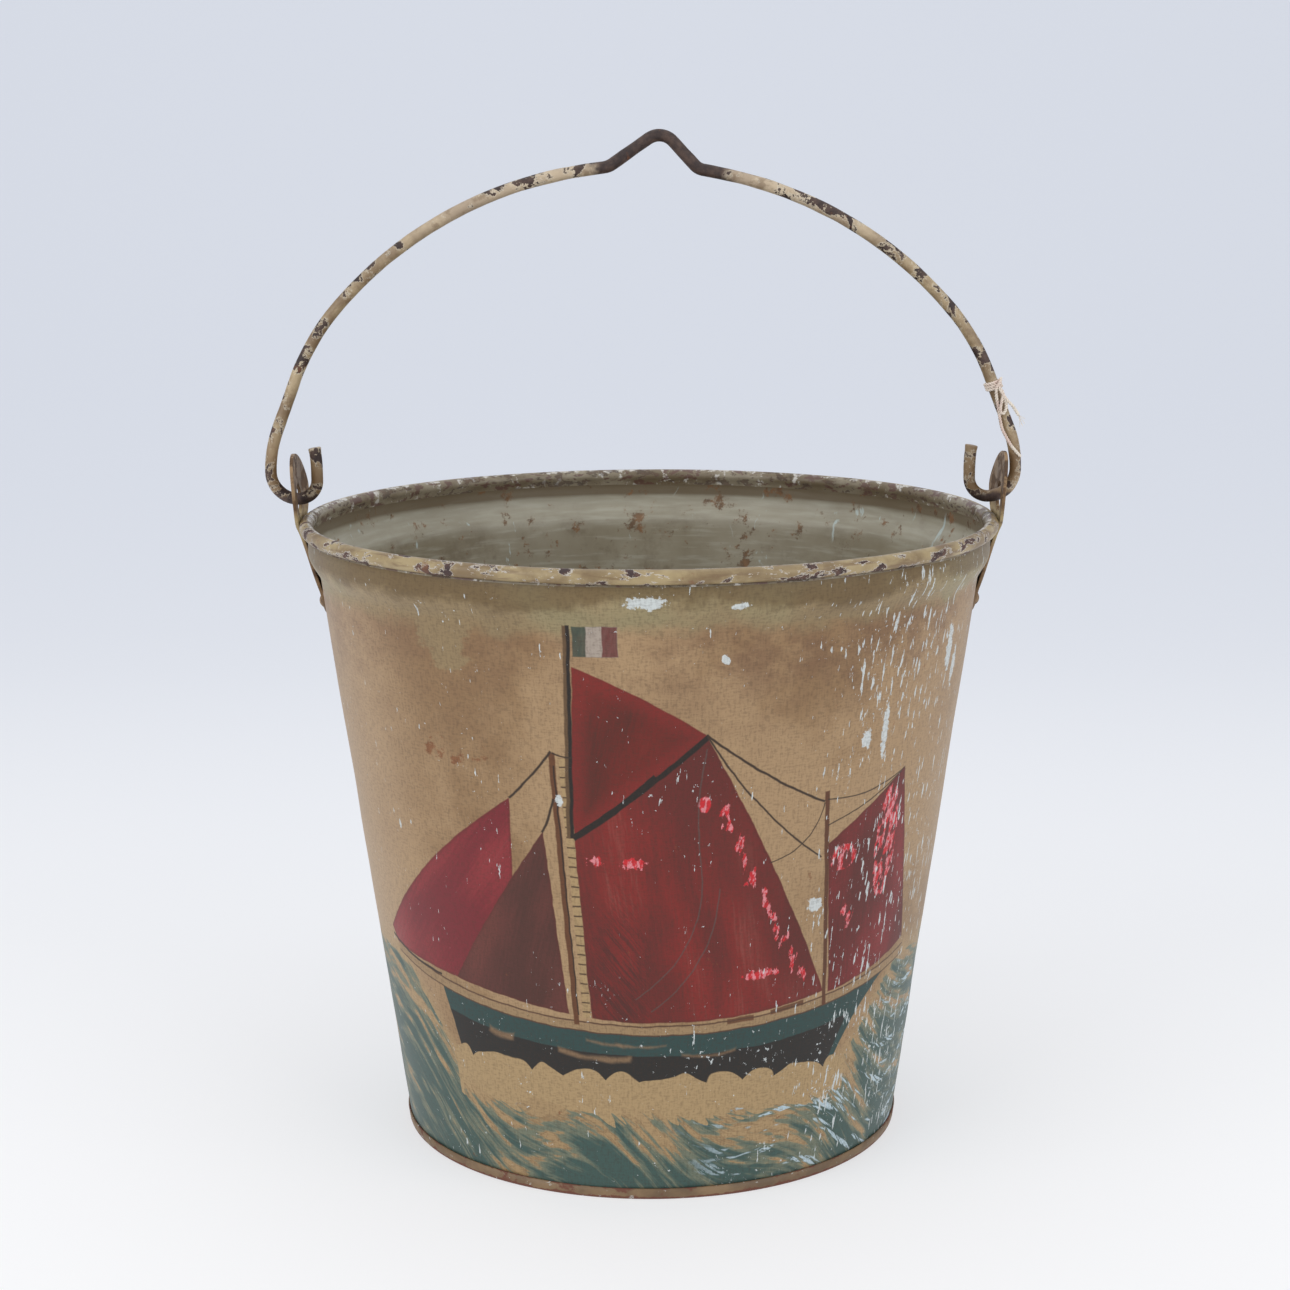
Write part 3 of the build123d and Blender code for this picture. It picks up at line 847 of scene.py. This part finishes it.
# %% All the layers together
def outside_paint():
    material, shader, spot = new_material("outside_painting")
    flat, canvas = unroll(spot, 1.1, 7.0)
    parts = [canvas.make("SeparateXYZ", [canvas], out=i) for i in range(2)]
    colour = ground(flat, parts, spot)
    colour, long_marks = sea(canvas, parts, colour)
    colour = hull(canvas, parts, colour, long_marks)
    colour = sails(canvas, colour)
    colour = rigging(canvas, parts, colour)
    colour, bare, rust = worn_picture(flat, parts, spot, colour)
    grain = streaks(flat, 0.0, 0.75, long=3.0, seed=40.0, detail=2.0)
    weave = streaks(flat, 90.0, 0.85, long=4.0, seed=41.0, detail=2.0)
    colour = colour.mix(srgb(60, 44, 34), (grain * 0.5 + weave * 0.5).step(0.44, 0.64) * 0.30)
    connect(shader, Base_Color=colour, Roughness=0.44 + bare * 0.1 + rust * 0.25)
    shader.inputs["Specular IOR Level"].default_value = 0.28
    relief = streaks(flat, 4.0, 1.1, long=7.0, seed=42.0, detail=3.0)
    bump(shader, relief, strength=0.25, distance=0.0002)
    return material


OUTSIDE_PAINT = outside_paint()
print(OUTSIDE_PAINT.name, "nodes:", len(OUTSIDE_PAINT.node_tree.nodes))

# %% The two wall sheets
SPLIT = 0.03 * MM / FOOT_R
WALL_STEPS = 110
LIP_WIDTH = 5.0 * MM
LIP_LOW = FOOT_BAND + 1.0 * MM
LIP_TOP = 207.0 * MM
LIP_RISE = 0.9 * MM
DENT = 0.35 * MM
DENT_PATCH = 0.045


def wall_sheet(name, start, node):
    """Half a turn of the wall, with its seam's raised lip along the first edge."""
    mesh = bmesh.new()
    spin(mesh, chain(mesh, wall_profile()), start + pi / 2 + SPLIT, pi - 2 * SPLIT, WALL_STEPS)
    face_out(mesh)
    for face in mesh.faces:
        face.material_index = 2 if face.calc_center_median().z > CREASE_Z else 0
    half = LIP_WIDTH / 2 / mid_r(LIP_TOP / 2)
    strip = bmesh.new()
    rings = [LIP_LOW + (LIP_TOP - LIP_LOW) * i / CONE_RINGS for i in range(CONE_RINGS + 1)]
    centre = (SHEET + LIP_RISE) / 2 + 0.02 * MM
    spin(strip, chain(strip, [(mid_r(z) + centre, z) for z in rings]), start + pi / 2 - half, 2 * half, 4)
    face_out(strip)
    joined = bpy.data.meshes.new("strip")
    strip.to_mesh(joined)
    strip.free()
    mesh.from_mesh(joined)
    bpy.data.meshes.remove(joined)
    dent(mesh, DENT, DENT_PATCH)
    materials = [OUTSIDE_PAINT, INSIDE_PAINT, RIM_PAINT, RIM_PAINT]
    return finish_piece(name, mesh, materials, stands_for=[node], thickness=SHEET)


wall_sheet("painted_wall_front", pi, "wall_front")
wall_sheet("painted_wall_back", 0.0, "wall_back")
print("wall sheets spun")

# %% [markdown]
# ## Bottom pan
# The bottom is a shallow pan. Its skirt goes down inside the wall and is folded up outside it,
# which makes the narrow band round the foot. It is one sheet again, so one profile spun a whole
# turn makes it, from a pole in the middle of the bottom to the top of the band.

# %% Paints of the foot
def band_paint():
    material, shader, spot = new_material("foot_band_paint")
    height = spot.make("SeparateXYZ", [spot], out=2)
    base = mottle(spot, srgb(132, 106, 75), srgb(100, 78, 55), 45.0, seed=2.5)
    ragged = spot.noise(120.0, detail=5.0, rough=0.7, seed=5.5)
    edges = abs(height - 0.0028).step(0.0010, 0.0024)
    rust = (ragged + edges * 0.22).step(0.56, 0.66)
    colour = base.mix(srgb(104, 60, 46), rust * 0.9)
    flecks = spot.noise(260.0, detail=4.0, rough=0.7, stretch=(1, 1, 2), seed=3.5).step(0.64, 0.68)
    colour = colour.mix(srgb(196, 196, 190), flecks * 0.8)
    connect(shader, Base_Color=colour, Roughness=0.5 + rust * 0.3)
    bump(shader, ragged, strength=0.35, distance=0.0003)
    return material


def underside_paint():
    material, shader, spot = new_material("underside_tin")
    dull = mottle(spot, srgb(134, 130, 122), srgb(98, 90, 82), 16.0, seed=7.0)
    rust = rust_spots(spot, 60.0, 0.42, seed=4.0)
    colour = dull.mix(mottle(spot, srgb(132, 82, 50), srgb(84, 56, 40), 150.0, seed=1.0), rust)
    scrape = spot.noise(30.0, detail=5.0, stretch=(1, 8, 1), seed=6.0).step(0.60, 0.66)
    colour = colour.mix(srgb(168, 168, 164), scrape * 0.5)
    connect(shader, Base_Color=colour, Roughness=0.45 + rust * 0.35, Metallic=0.55 - rust * 0.5)
    bump(shader, rust + scrape * 0.3, strength=0.3, distance=0.0003)
    return material


BAND_PAINT = band_paint()
UNDERSIDE_PAINT = underside_paint()
print(BAND_PAINT.name, UNDERSIDE_PAINT.name)

# %% Bottom pan
FOLD_R = 0.75 * MM
FOLD_STEPS = 8
DISC_RINGS = 14
BOTTOM_SAG = 0.8 * MM


def pan_profile():
    """From the middle of the bottom out, down the skirt, round the fold and up the band."""
    lean = atan2(TAPER, 1.0)
    across = Vector((cos(lean), -sin(lean))) * FOLD_R
    fold = Vector((mid_r(FOLD_Z), FOLD_Z))
    outer = fold + across
    corner = mid_r(PAN_Z) - FOLD_R - 1.2 * MM
    profile = []
    for i in range(DISC_RINGS + 1):
        r = corner * i / DISC_RINGS
        profile.append((r, PAN_Z - BOTTOM_SAG * (1 - (r / corner) ** 2) * 0.5))
    profile.append((corner + 0.8 * MM, PAN_Z - 0.35 * MM))
    profile.append((corner + 1.1 * MM, PAN_Z - 1.2 * MM))
    for i in range(FOLD_STEPS + 1):
        turn = pi - pi * i / FOLD_STEPS
        down = Vector((-sin(lean), -cos(lean))) * FOLD_R * sin(turn)
        place = fold + across * cos(turn) + down
        profile.append((place.x, max(place.y, SHEET / 2)))
    rise = FOOT_BAND - outer.y - SHEET / 2
    profile.append((outer.x + rise * TAPER, outer.y + rise))
    return profile


def bottom_pan():
    mesh = bmesh.new()
    spin(mesh, chain(mesh, pan_profile()), 0.0, 2 * pi, 2 * WALL_STEPS)
    top_ring = [f for f in mesh.faces if f.calc_center_median().z > FOOT_BAND / 2]
    band = [f for f in top_ring if hypot(*f.calc_center_median().xy) > mid_r(0)]
    if band[0].normal.dot(band[0].calc_center_median()) < 0:
        bmesh.ops.reverse_faces(mesh, faces=mesh.faces)
    for face in mesh.faces:
        middle = face.calc_center_median()
        face.material_index = 0 if hypot(middle.x, middle.y) > mid_r(FOLD_Z) - 0.3 * MM else 2
    materials = [BAND_PAINT, INSIDE_PAINT, UNDERSIDE_PAINT, INSIDE_PAINT]
    return finish_piece("bottom_pan_sheet", mesh, materials, stands_for=["bottom_pan"],
                        thickness=SHEET)


bottom_pan()
print("pan rings:", len(pan_profile()))

# %% [markdown]
# ## Ears
# Each ear is a leaf cut from thicker sheet, with a hole for the bail's hook and two rivets at its
# foot. It lies on the wall, bends out past the curl and stands up above it. The leaf is filled
# flat between its outline and its hole, cut into small rows so that it can bend, and then every
# row is set at the radius where the wall or the curl holds it.

# %% Iron finishes
def ear_paint():
    material, shader, spot = new_material("ear_worn_paint")
    height = spot.make("SeparateXYZ", [spot], out=2)
    paint = mottle(spot, srgb(146, 118, 84), srgb(110, 84, 56), 55.0, seed=3.3)
    neck = height.step(0.236, 0.244) * height.step(0.256, 0.250)
    paint = paint.mix(srgb(176, 156, 114), neck * spot.noise(60.0, seed=2.2).step(0.40, 0.55))
    ragged = spot.noise(130.0, detail=6.0, rough=0.7, seed=8.3)
    rust = (ragged + height.step(0.246, 0.262) * 0.10).step(0.55, 0.64)
    colour = paint.mix(mottle(spot, srgb(104, 76, 50), srgb(70, 50, 38), 220.0, seed=1.3), rust * 0.85)
    connect(shader, Base_Color=colour, Roughness=0.5 + rust * 0.25, Metallic=rust * 0.2)
    bump(shader, ragged, strength=0.4, distance=0.0004)
    return material


def rivet_iron():
    material, shader, spot = new_material("rivet_iron")
    ragged = spot.noise(300.0, detail=5.0, rough=0.65, seed=1.7)
    colour = flat_colour(spot, srgb(134, 108, 78)).mix(srgb(76, 54, 42), ragged.step(0.44, 0.58))
    connect(shader, Base_Color=colour, Roughness=0.5 + ragged * 0.2)
    bump(shader, ragged, strength=0.4, distance=0.0003)
    return material


def wire_steel():
    material, shader, spot = new_material("rim_wire_steel")
    ragged = spot.noise(120.0, detail=5.0, rough=0.65, seed=2.7)
    colour = flat_colour(spot, srgb(120, 112, 104)).mix(RUST_LIGHT, ragged.step(0.48, 0.62) * 0.7)
    connect(shader, Base_Color=colour, Roughness=0.4 + ragged * 0.3, Metallic=0.8)
    return material


EAR_PAINT = ear_paint()
RIVET_IRON = rivet_iron()
WIRE_STEEL = wire_steel()
for node, material in {"rim_wire": WIRE_STEEL, **{f"rivet_{s}_{e}": RIVET_IRON for s in ("left", "right")
                                                 for e in ("front", "back")}}.items():
    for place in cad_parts[node].material_slots:
        place.material = material
print("iron finishes ready")

# %% Bending a leaf to the wall
EAR_T = 1.25 * MM
EAR_CLEAR = 0.08 * MM
EAR_TIP_Z = 275.5
EAR_FOOT_Z = 211.0
EAR_LEAVES_WALL = 221.0 * MM
EAR_NECK = (140.75 * MM, 247.5 * MM)
EAR_TOP = (143.0 * MM, 278.0 * MM)
HOLE_R = 6.0 * MM
HOLE_Z = 257.3 * MM
EAR_EDGE = 0.25 * MM
LEAF = [(0, EAR_TIP_Z), (12.5, 271.5), (20.5, 261.0), (16.5, 251.5), (9.0, 245.0), (9.5, 238.0),
        (14.5, 226.5), (11.5, 217.5), (0, EAR_FOOT_Z)]
LEAF_REACH = 21 * MM
OUTLINE_STEPS = 7
ROW_GAP = 1.5 * MM
COLUMN_GAP = 3 * MM


def soft_loop(points):
    """A closed soft curve through the points, as Bezier pieces."""
    loop = []
    for i in range(len(points)):
        before, here, there, after = (Vector(points[(i + k) % len(points)]) for k in (-1, 0, 1, 2))
        pull = (there - before) / 6
        push = (after - here) / 6
        loop += interpolate_bezier(here, here + pull, there - push, there, OUTLINE_STEPS + 1)[:-1]
    return loop


def ear_r(z):
    """Radius of the leaf's middle: on the wall, then slanting out to the neck, then nearly upright."""
    off = EAR_CLEAR + EAR_T / 2
    on_wall = FOOT_R + TAPER * z + off
    leaves_r = FOOT_R + TAPER * EAR_LEAVES_WALL + off
    to_neck = leaves_r + (z - EAR_LEAVES_WALL) * (EAR_NECK[0] - leaves_r) / (EAR_NECK[1] - EAR_LEAVES_WALL)
    to_top = EAR_NECK[0] + (z - EAR_NECK[1]) * (EAR_TOP[0] - EAR_NECK[0]) / (EAR_TOP[1] - EAR_NECK[1])
    return min(max(on_wall, to_neck), to_top)


def cut_rows(mesh, normal, low, high, gap):
    """Cuts the mesh with parallel planes, so that it can bend across them."""
    for i in range(1, int((high - low) / gap) + 1):
        everything = mesh.verts[:] + mesh.edges[:] + mesh.faces[:]
        place = Vector(normal) * (low + i * gap)
        bmesh.ops.bisect_plane(mesh, geom=everything, plane_co=place, plane_no=normal, dist=1e-6)


def ear(side, name, node):
    """A leaf on the right, or with side -1 the same leaf turned round to the left."""
    mesh = bmesh.new()
    points = LEAF + [(-y, z) for y, z in LEAF[-2:0:-1]]
    verts = [mesh.verts.new((0.0, p.x * MM, p.y * MM)) for p in soft_loop(points)]
    for pair in zip(verts, verts[1:] + verts[:1]):
        mesh.edges.new(pair)
    hole_place = Matrix.Translation((0, 0, HOLE_Z)) @ Matrix.Rotation(pi / 2, 4, "Y")
    bmesh.ops.create_circle(mesh, segments=36, radius=HOLE_R, matrix=hole_place)
    bmesh.ops.triangle_fill(mesh, edges=mesh.edges[:], use_beauty=True, normal=(1, 0, 0))
    cut_rows(mesh, (0, 0, 1), EAR_FOOT_Z * MM, EAR_TIP_Z * MM, ROW_GAP)
    cut_rows(mesh, (0, 1, 0), -LEAF_REACH, LEAF_REACH, COLUMN_GAP)
    for v in mesh.verts:
        r = (ear_r(v.co.z - MM) + 2 * ear_r(v.co.z) + ear_r(v.co.z + MM)) / 4
        v.co.x = (r**2 - v.co.y**2) ** 0.5
    half_turn = Matrix.Rotation(0 if side > 0 else pi, 3, "Z")
    bmesh.ops.rotate(mesh, verts=mesh.verts, cent=(0, 0, 0), matrix=half_turn)
    bmesh.ops.recalc_face_normals(mesh, faces=mesh.faces)
    return finish_piece(name, mesh, [EAR_PAINT], stands_for=[node], thickness=EAR_T,
                        bevel=EAR_EDGE)


ear(1, "ear_leaf_right", "ear_right")
ear(-1, "ear_leaf_left", "ear_left")
print("ears bent at", round(EAR_LEAVES_WALL / MM), "and", round(EAR_NECK[1] / MM), "mm")

# %% [markdown]
# ## Bail
# The handle is one length of round wire, bent cold: an arch with a small crook at the top that
# keeps a hook or a hand in the middle, two legs, and a hook at each end through its ear. A
# smith bends it turn by turn, and so does this cell. It starts with one ring at the crook and
# spins or pushes it on for each move, first to the right and then to the left.

# %% Bail sizes
WIRE_R = 2.4 * MM
WIRE_SIDES = 20
BAIL_SHIFT = -2.3 * MM
ARCH_R = 161.6 * MM
ARCH_CENTRE_Z = 227.0 * MM
ARCH_END = 41.0
LEG_TILT = 21.0
LEG_MOVES = [(93.6 * MM, ARCH_END - LEG_TILT), (None, 21.5 * MM), (47.0 * MM, LEG_TILT), (10.9 * MM, 90.0),
             (7.6 * MM, 90.0), (None, 4.0 * MM), (55.0 * MM, 9.5)]
CROOK_FROM = -22.0 * MM
CROOK_TO = 31.0 * MM
CROOK_RUN_IN = 9.0 * MM
CROOK_PEAK = Vector((8.0, 402.8)) * MM
CROOK_RADII = [8.0 * MM, 7.5 * MM, 6.0 * MM]
WIRE_STEP = 3.0 * MM


def on_arch(x):
    return Vector((x, ARCH_CENTRE_Z + (ARCH_R**2 - x**2) ** 0.5))


def arch_heading(x):
    """Which way the arch runs at x, going right."""
    return Vector((on_arch(x).y - ARCH_CENTRE_Z, -x)).normalized()


def crook_moves(points, radii):
    """Straight runs between the corners, and a bend at each corner. Left turns are positive."""
    moves = []
    spare = 0.0
    for i, radius in enumerate(radii):
        run_in = points[i + 1] - points[i]
        run_out = points[i + 2] - points[i + 1]
        turn = atan2(run_in.x * run_out.y - run_in.y * run_out.x, run_in.dot(run_out))
        cut = radius * tan(abs(turn) / 2)
        moves.append((None, run_in.length - spare - cut))
        moves.append((radius, degrees(turn)))
        spare = cut
    moves.append((None, (points[-1] - points[-2]).length - spare))
    return moves


def bend_wire(mesh, ring, place, heading, moves):
    """Carries a ring of edges along the moves and returns the last ring."""
    for radius, amount in moves:
        if radius is None:
            steps = max(1, round(amount / WIRE_STEP))
            push = Vector((heading.x, 0, heading.y)) * amount / steps
            made = bmesh.ops.spin(mesh, geom=ring, cent=(0, 0, 0), axis=(0, 1, 0), dvec=push, angle=0.0,
                                  steps=steps)
            place = place + heading * amount
        else:
            turn = radians(amount)
            steps = max(4, round(abs(turn) * max(radius / WIRE_STEP, 8)))
            left = Vector((-heading.y, heading.x)) * (1 if turn > 0 else -1)
            centre = place + left * radius
            made = bmesh.ops.spin(mesh, geom=ring, cent=(centre.x, 0, centre.y), axis=(0, 1, 0), angle=-turn,
                                  steps=steps)
            turned = Matrix.Rotation(turn, 2)
            place = centre + turned @ (place - centre)
            heading = turned @ heading
        ring = made["geom_last"]
    return ring


print("arch radius:", ARCH_R)


# %% Bail finish: chipped cream, bare at the crook, brown at the hooks, with a painted highlight on top of the arch
def bail_paint():
    material, shader, spot = new_material("bail_chipped_paint")
    across = spot.make("SeparateXYZ", [spot], out=0)
    height = spot.make("SeparateXYZ", [spot], out=2)
    cream = mottle(spot, srgb(176, 156, 124), srgb(124, 102, 76), 70.0, seed=1.1)
    # The top of the arch is painted a lighter cream: a painted highlight from the light above.
    top = height.step(0.345, 0.380) * 0.45
    cream = cream.mix(srgb(208, 190, 168), top)
    brushed = spot.noise(190.0, detail=4.0, rough=0.65, seed=1.9)
    cream = cream.mix(srgb(120, 98, 74), brushed.step(0.52, 0.66) * 0.6)
    arch_centre = (BAIL_SHIFT, 0.0, ARCH_CENTRE_Z)
    reach = spot.make("VectorMath", (spot, arch_centre), out=1, operation="DISTANCE")
    outer = (reach - ARCH_R).step(-0.002, 0.0024) * 0.035
    ragged = spot.noise(105.0, detail=6.0, rough=0.68, twist=0.3, seed=4.1)
    crook = abs(across - 0.0045 + ragged * 0.016 - 0.008).under(0.027, 0.003) * height.step(0.375, 0.380)
    hook = height.step(0.300, 0.262)
    level = ragged + outer + hook * 0.05
    rubbed = (height + ragged * 0.006).step(0.2625, 0.2605)
    bare = level.step(0.565, 0.580).max(crook).max(rubbed)
    edge_light = level.step(0.535, 0.55) - level.step(0.565, 0.575)
    colour = cream.mix(srgb(122, 96, 66), hook * spot.noise(60.0, seed=6.1).step(0.30, 0.45) * 0.85)
    colour = colour.mix(srgb(208, 198, 178), edge_light * 0.5)
    dark = mottle(spot, srgb(84, 66, 58), srgb(54, 42, 40), 260.0, seed=2.1)
    colour = colour.mix(dark, bare)
    rust = spot.noise(150.0, detail=4.0, seed=9.1).step(0.60, 0.68) * bare
    colour = colour.mix(srgb(112, 70, 46), rust * 0.7)
    connect(shader, Base_Color=colour, Roughness=0.45 + bare * 0.12, Metallic=bare * 0.25)
    bump(shader, level.step(0.590, 0.555) + ragged * 0.3, strength=0.5, distance=0.0003)
    return material


BAIL_PAINT = bail_paint()
print(BAIL_PAINT.name)

# %% Bail wire
DENT_WIRE = 0.16 * MM
TIP_FLARE = 1.12
TIP_BEVEL = 0.5 * MM


def bail():
    mesh = bmesh.new()
    start = on_arch(CROOK_FROM)
    start_way = arch_heading(CROOK_FROM)
    end = on_arch(CROOK_TO)
    end_way = arch_heading(CROOK_TO)
    corners = [start, start + start_way * CROOK_RUN_IN, CROOK_PEAK, end - end_way * CROOK_RUN_IN, end]
    shift = Vector((BAIL_SHIFT, 0))
    way = Vector((start_way.x, 0, start_way.y))
    along = way.to_track_quat("Z", "Y").to_matrix().to_4x4()
    section = Matrix.Translation((start.x + BAIL_SHIFT, 0, start.y)) @ along
    ring = bmesh.ops.create_circle(mesh, segments=WIRE_SIDES, radius=WIRE_R, matrix=section)["verts"]
    ring = ring + list({e for v in ring for e in v.link_edges})
    reach_right = degrees(asin(CROOK_TO / ARCH_R))
    reach_left = degrees(asin(-CROOK_FROM / ARCH_R))
    arch_right = [(ARCH_R, -(90 - ARCH_END - reach_right))] + [(r, -a if r else a) for r, a in LEG_MOVES]
    arch_left = [(ARCH_R, 90 - ARCH_END - reach_left)] + LEG_MOVES
    right = bend_wire(mesh, ring, start + shift, start_way, crook_moves(corners, CROOK_RADII) + arch_right)
    left = bend_wire(mesh, ring, start + shift, -start_way, arch_left)
    caps = []
    for last in (right, left):
        edges = [g for g in last if isinstance(g, bmesh.types.BMEdge)]
        tip = {v for e in edges for v in e.verts}
        centre = sum((v.co for v in tip), Vector()) / len(tip)
        for v in tip:
            v.co = centre + (v.co - centre) * TIP_FLARE
        bmesh.ops.edgeloop_fill(mesh, edges=edges)
        caps += edges
    bmesh.ops.bevel(mesh, geom=caps, offset=TIP_BEVEL, segments=3, profile=0.5, affect="EDGES", material=-1)
    bmesh.ops.recalc_face_normals(mesh, faces=mesh.faces)
    mesh.normal_update()
    for v in mesh.verts:
        v.co += v.normal * (noise.noise(v.co / 0.011) + 0.5 * noise.noise(v.co / 0.004)) * DENT_WIRE
    return finish_piece("bail_wire", mesh, [BAIL_PAINT], body="bail", stands_for=["bail_handle"])


bail()
print("bail bent from", round(CROOK_PEAK.y, 4), "m down to its hooks")

# %% [markdown]
# ## String
# A bit of cotton string is still knotted round the right leg of the bail: two and a half turns,
# a loop, one long end that lies down the wire and a short frayed one. Each run follows a soft
# curve, and two plies twist round that curve like the real thing.

# %% String sizes and finish
PLY_R = 0.40 * MM
PLY_OFF = 0.30 * MM
PLY_PITCH = 2.3 * MM
FIBRE_R = 0.10 * MM
STRING_REACH = WIRE_R + 0.62 * MM


def string_cotton():
    material, shader, spot = new_material("string_cotton")
    fluff = spot.noise(700.0, detail=3.0, rough=0.7, seed=1.0)
    soil = spot.noise(110.0, detail=3.0, seed=2.0)
    colour = flat_colour(spot, srgb(226, 216, 202)).mix(srgb(206, 174, 164), soil.step(0.45, 0.62) * 0.6)
    colour = colour.mix(srgb(150, 132, 112), fluff.step(0.52, 0.7) * 0.5)
    connect(shader, Base_Color=colour, Roughness=0.9)
    shader.inputs["Sheen Weight"].default_value = 0.3
    bump(shader, fluff, strength=0.5, distance=0.0002)
    return material


STRING_COTTON = string_cotton()


def leg_x(z):
    """Middle of the wire on the straight stretch of the right leg, in mm."""
    top = radians(ARCH_END)
    tilt = radians(LEG_TILT)
    arc = LEG_MOVES[0][0]
    start_x = ARCH_R * cos(top) + arc * (cos(tilt) - cos(top))
    start_z = ARCH_CENTRE_Z + ARCH_R * sin(top) - arc * (sin(top) - sin(tilt))
    return (BAIL_SHIFT + start_x + (start_z - z * MM) * tan(tilt)) / MM


def soft_route(points):
    """The smooth line of a spline over control points given in mm."""
    curve = bpy.data.curves.new("route", "CURVE")
    curve.dimensions = "3D"
    spline = curve.splines.new("NURBS")
    spline.points.add(len(points) - 1)
    for control, point in zip(spline.points, points):
        control.co = (*(Vector(point) * MM), 1.0)
    spline.order_u = 3
    spline.use_endpoint_u = True
    spline.resolution_u = 10
    holder = bpy.data.objects.new("route", curve)
    line = bpy.data.meshes.new_from_object(holder)
    path = [v.co.copy() for v in line.vertices]
    bpy.data.objects.remove(holder)
    bpy.data.curves.remove(curve)
    bpy.data.meshes.remove(line)
    return path


def add_strand(mesh, path, radius):
    """A round strand along a path, joined into the mesh."""
    curve = bpy.data.curves.new("strand", "CURVE")
    curve.dimensions = "3D"
    curve.bevel_depth = radius
    curve.bevel_resolution = 2
    curve.use_fill_caps = True
    spline = curve.splines.new("POLY")
    spline.points.add(len(path) - 1)
    for control, point in zip(spline.points, path):
        control.co = (*point, 1.0)
    holder = bpy.data.objects.new("strand", curve)
    tube = bpy.data.meshes.new_from_object(holder)
    mesh.from_mesh(tube)
    bpy.data.objects.remove(holder)
    bpy.data.curves.remove(curve)
    bpy.data.meshes.remove(tube)


def twist(mesh, points):
    """Two plies twisted round a soft route."""
    path = soft_route(points)
    for phase in (0.0, pi):
        run = 0.0
        ply = []
        for i, here in enumerate(path):
            before = path[max(i - 1, 0)]
            after = path[min(i + 1, len(path) - 1)]
            run += (here - before).length
            way = (after - before).normalized()
            side = way.cross(Vector((0.3, 1, 0.1))).normalized()
            angle = phase + 2 * pi * run / PLY_PITCH
            ply.append(here + (side * cos(angle) + way.cross(side) * sin(angle)) * PLY_OFF)
        add_strand(mesh, ply, PLY_R)
    return sum((b - a).length for a, b in zip(path, path[1:]))


print("string is", round(2 * (PLY_OFF + PLY_R) / MM, 2), "mm thick")

# %% String
WRAP_TURNS = 2.5
WRAP_PITCH = 1.15
WRAP_SLACK = 1.06
WRAP_Z = 302.0
FRAY = [(149.9, 286.9), (149.3, 285.9), (148.1, 285.6), (150.2, 288.8), (148.9, 286.4)]


def wrap_points():
    """Two and a half turns round the leg, square to the wire."""
    tilt = radians(LEG_TILT)
    along = Vector((-sin(tilt), 0, cos(tilt)))
    out = Vector((cos(tilt), 0, sin(tilt)))
    points = []
    for i in range(int(WRAP_TURNS * 8) + 1):
        turn = i * pi / 4
        middle = Vector((leg_x(WRAP_Z), 0, WRAP_Z)) + along * (i / 8 - WRAP_TURNS / 2) * WRAP_PITCH
        around = out * cos(turn) + Vector((0, -1, 0)) * sin(turn)
        points.append(middle + around * (STRING_REACH / MM * WRAP_SLACK))
    return points


def tag_string():
    front = -STRING_REACH / MM
    mesh = bmesh.new()
    long_end = [(140.2, front, 305.2), (140.0, front - 0.9, 303.2), (138.2, front - 1.1, 301.6),
                (138.4, front - 0.6, 298.4), (139.0, front, 295.4), (139.7, front, 291.6),
                (140.4, front, 287.6), (141.2, front, 284.4), (143.0, front - 0.2, 281.2),
                (144.6, front, 278.4), (146.8, front, 275.8), (148.8, front + 0.2, 273.6)]
    loop = [(138.6, front - 0.4, 302.4), (140.4, front - 1.3, 300.8), (141.5, front - 1.1, 297.6),
            (142.6, front - 0.5, 295.0), (142.5, front - 0.3, 292.4), (141.3, front - 0.2, 290.6),
            (140.0, front - 0.7, 291.6), (140.4, front - 1.2, 295.0), (141.2, front - 1.0, 298.6)]
    short_end = [(139.4, front - 1.0, 301.4), (141.0, front - 1.4, 298.6), (142.8, front - 1.0, 296.2),
                 (144.6, front - 0.9, 294.6), (146.2, front - 0.8, 292.4), (147.4, front - 0.9, 290.4)]
    lengths = [twist(mesh, run) for run in (wrap_points(), long_end, loop, short_end)]
    start = Vector(short_end[-1])
    for i, (x, z) in enumerate(FRAY):
        half_way = start.lerp(Vector((x, front - 0.9, z)), 0.5)
        bend = half_way + Vector((0.3 * (-1) ** i, 0.3 * (i - 2) / 2, 0.2))
        add_strand(mesh, soft_route([start, bend, (x, front - 0.9 + 0.4 * (i - 2), z)]), FIBRE_R)
    bmesh.ops.recalc_face_normals(mesh, faces=mesh.faces)
    print("string turns, long end, loop and short end, in mm:", [round(length / MM, 1) for length in lengths])
    return finish_piece("knotted_string", mesh, [STRING_COTTON], body="bail", stands_for=["tag_string"])


tag_string()
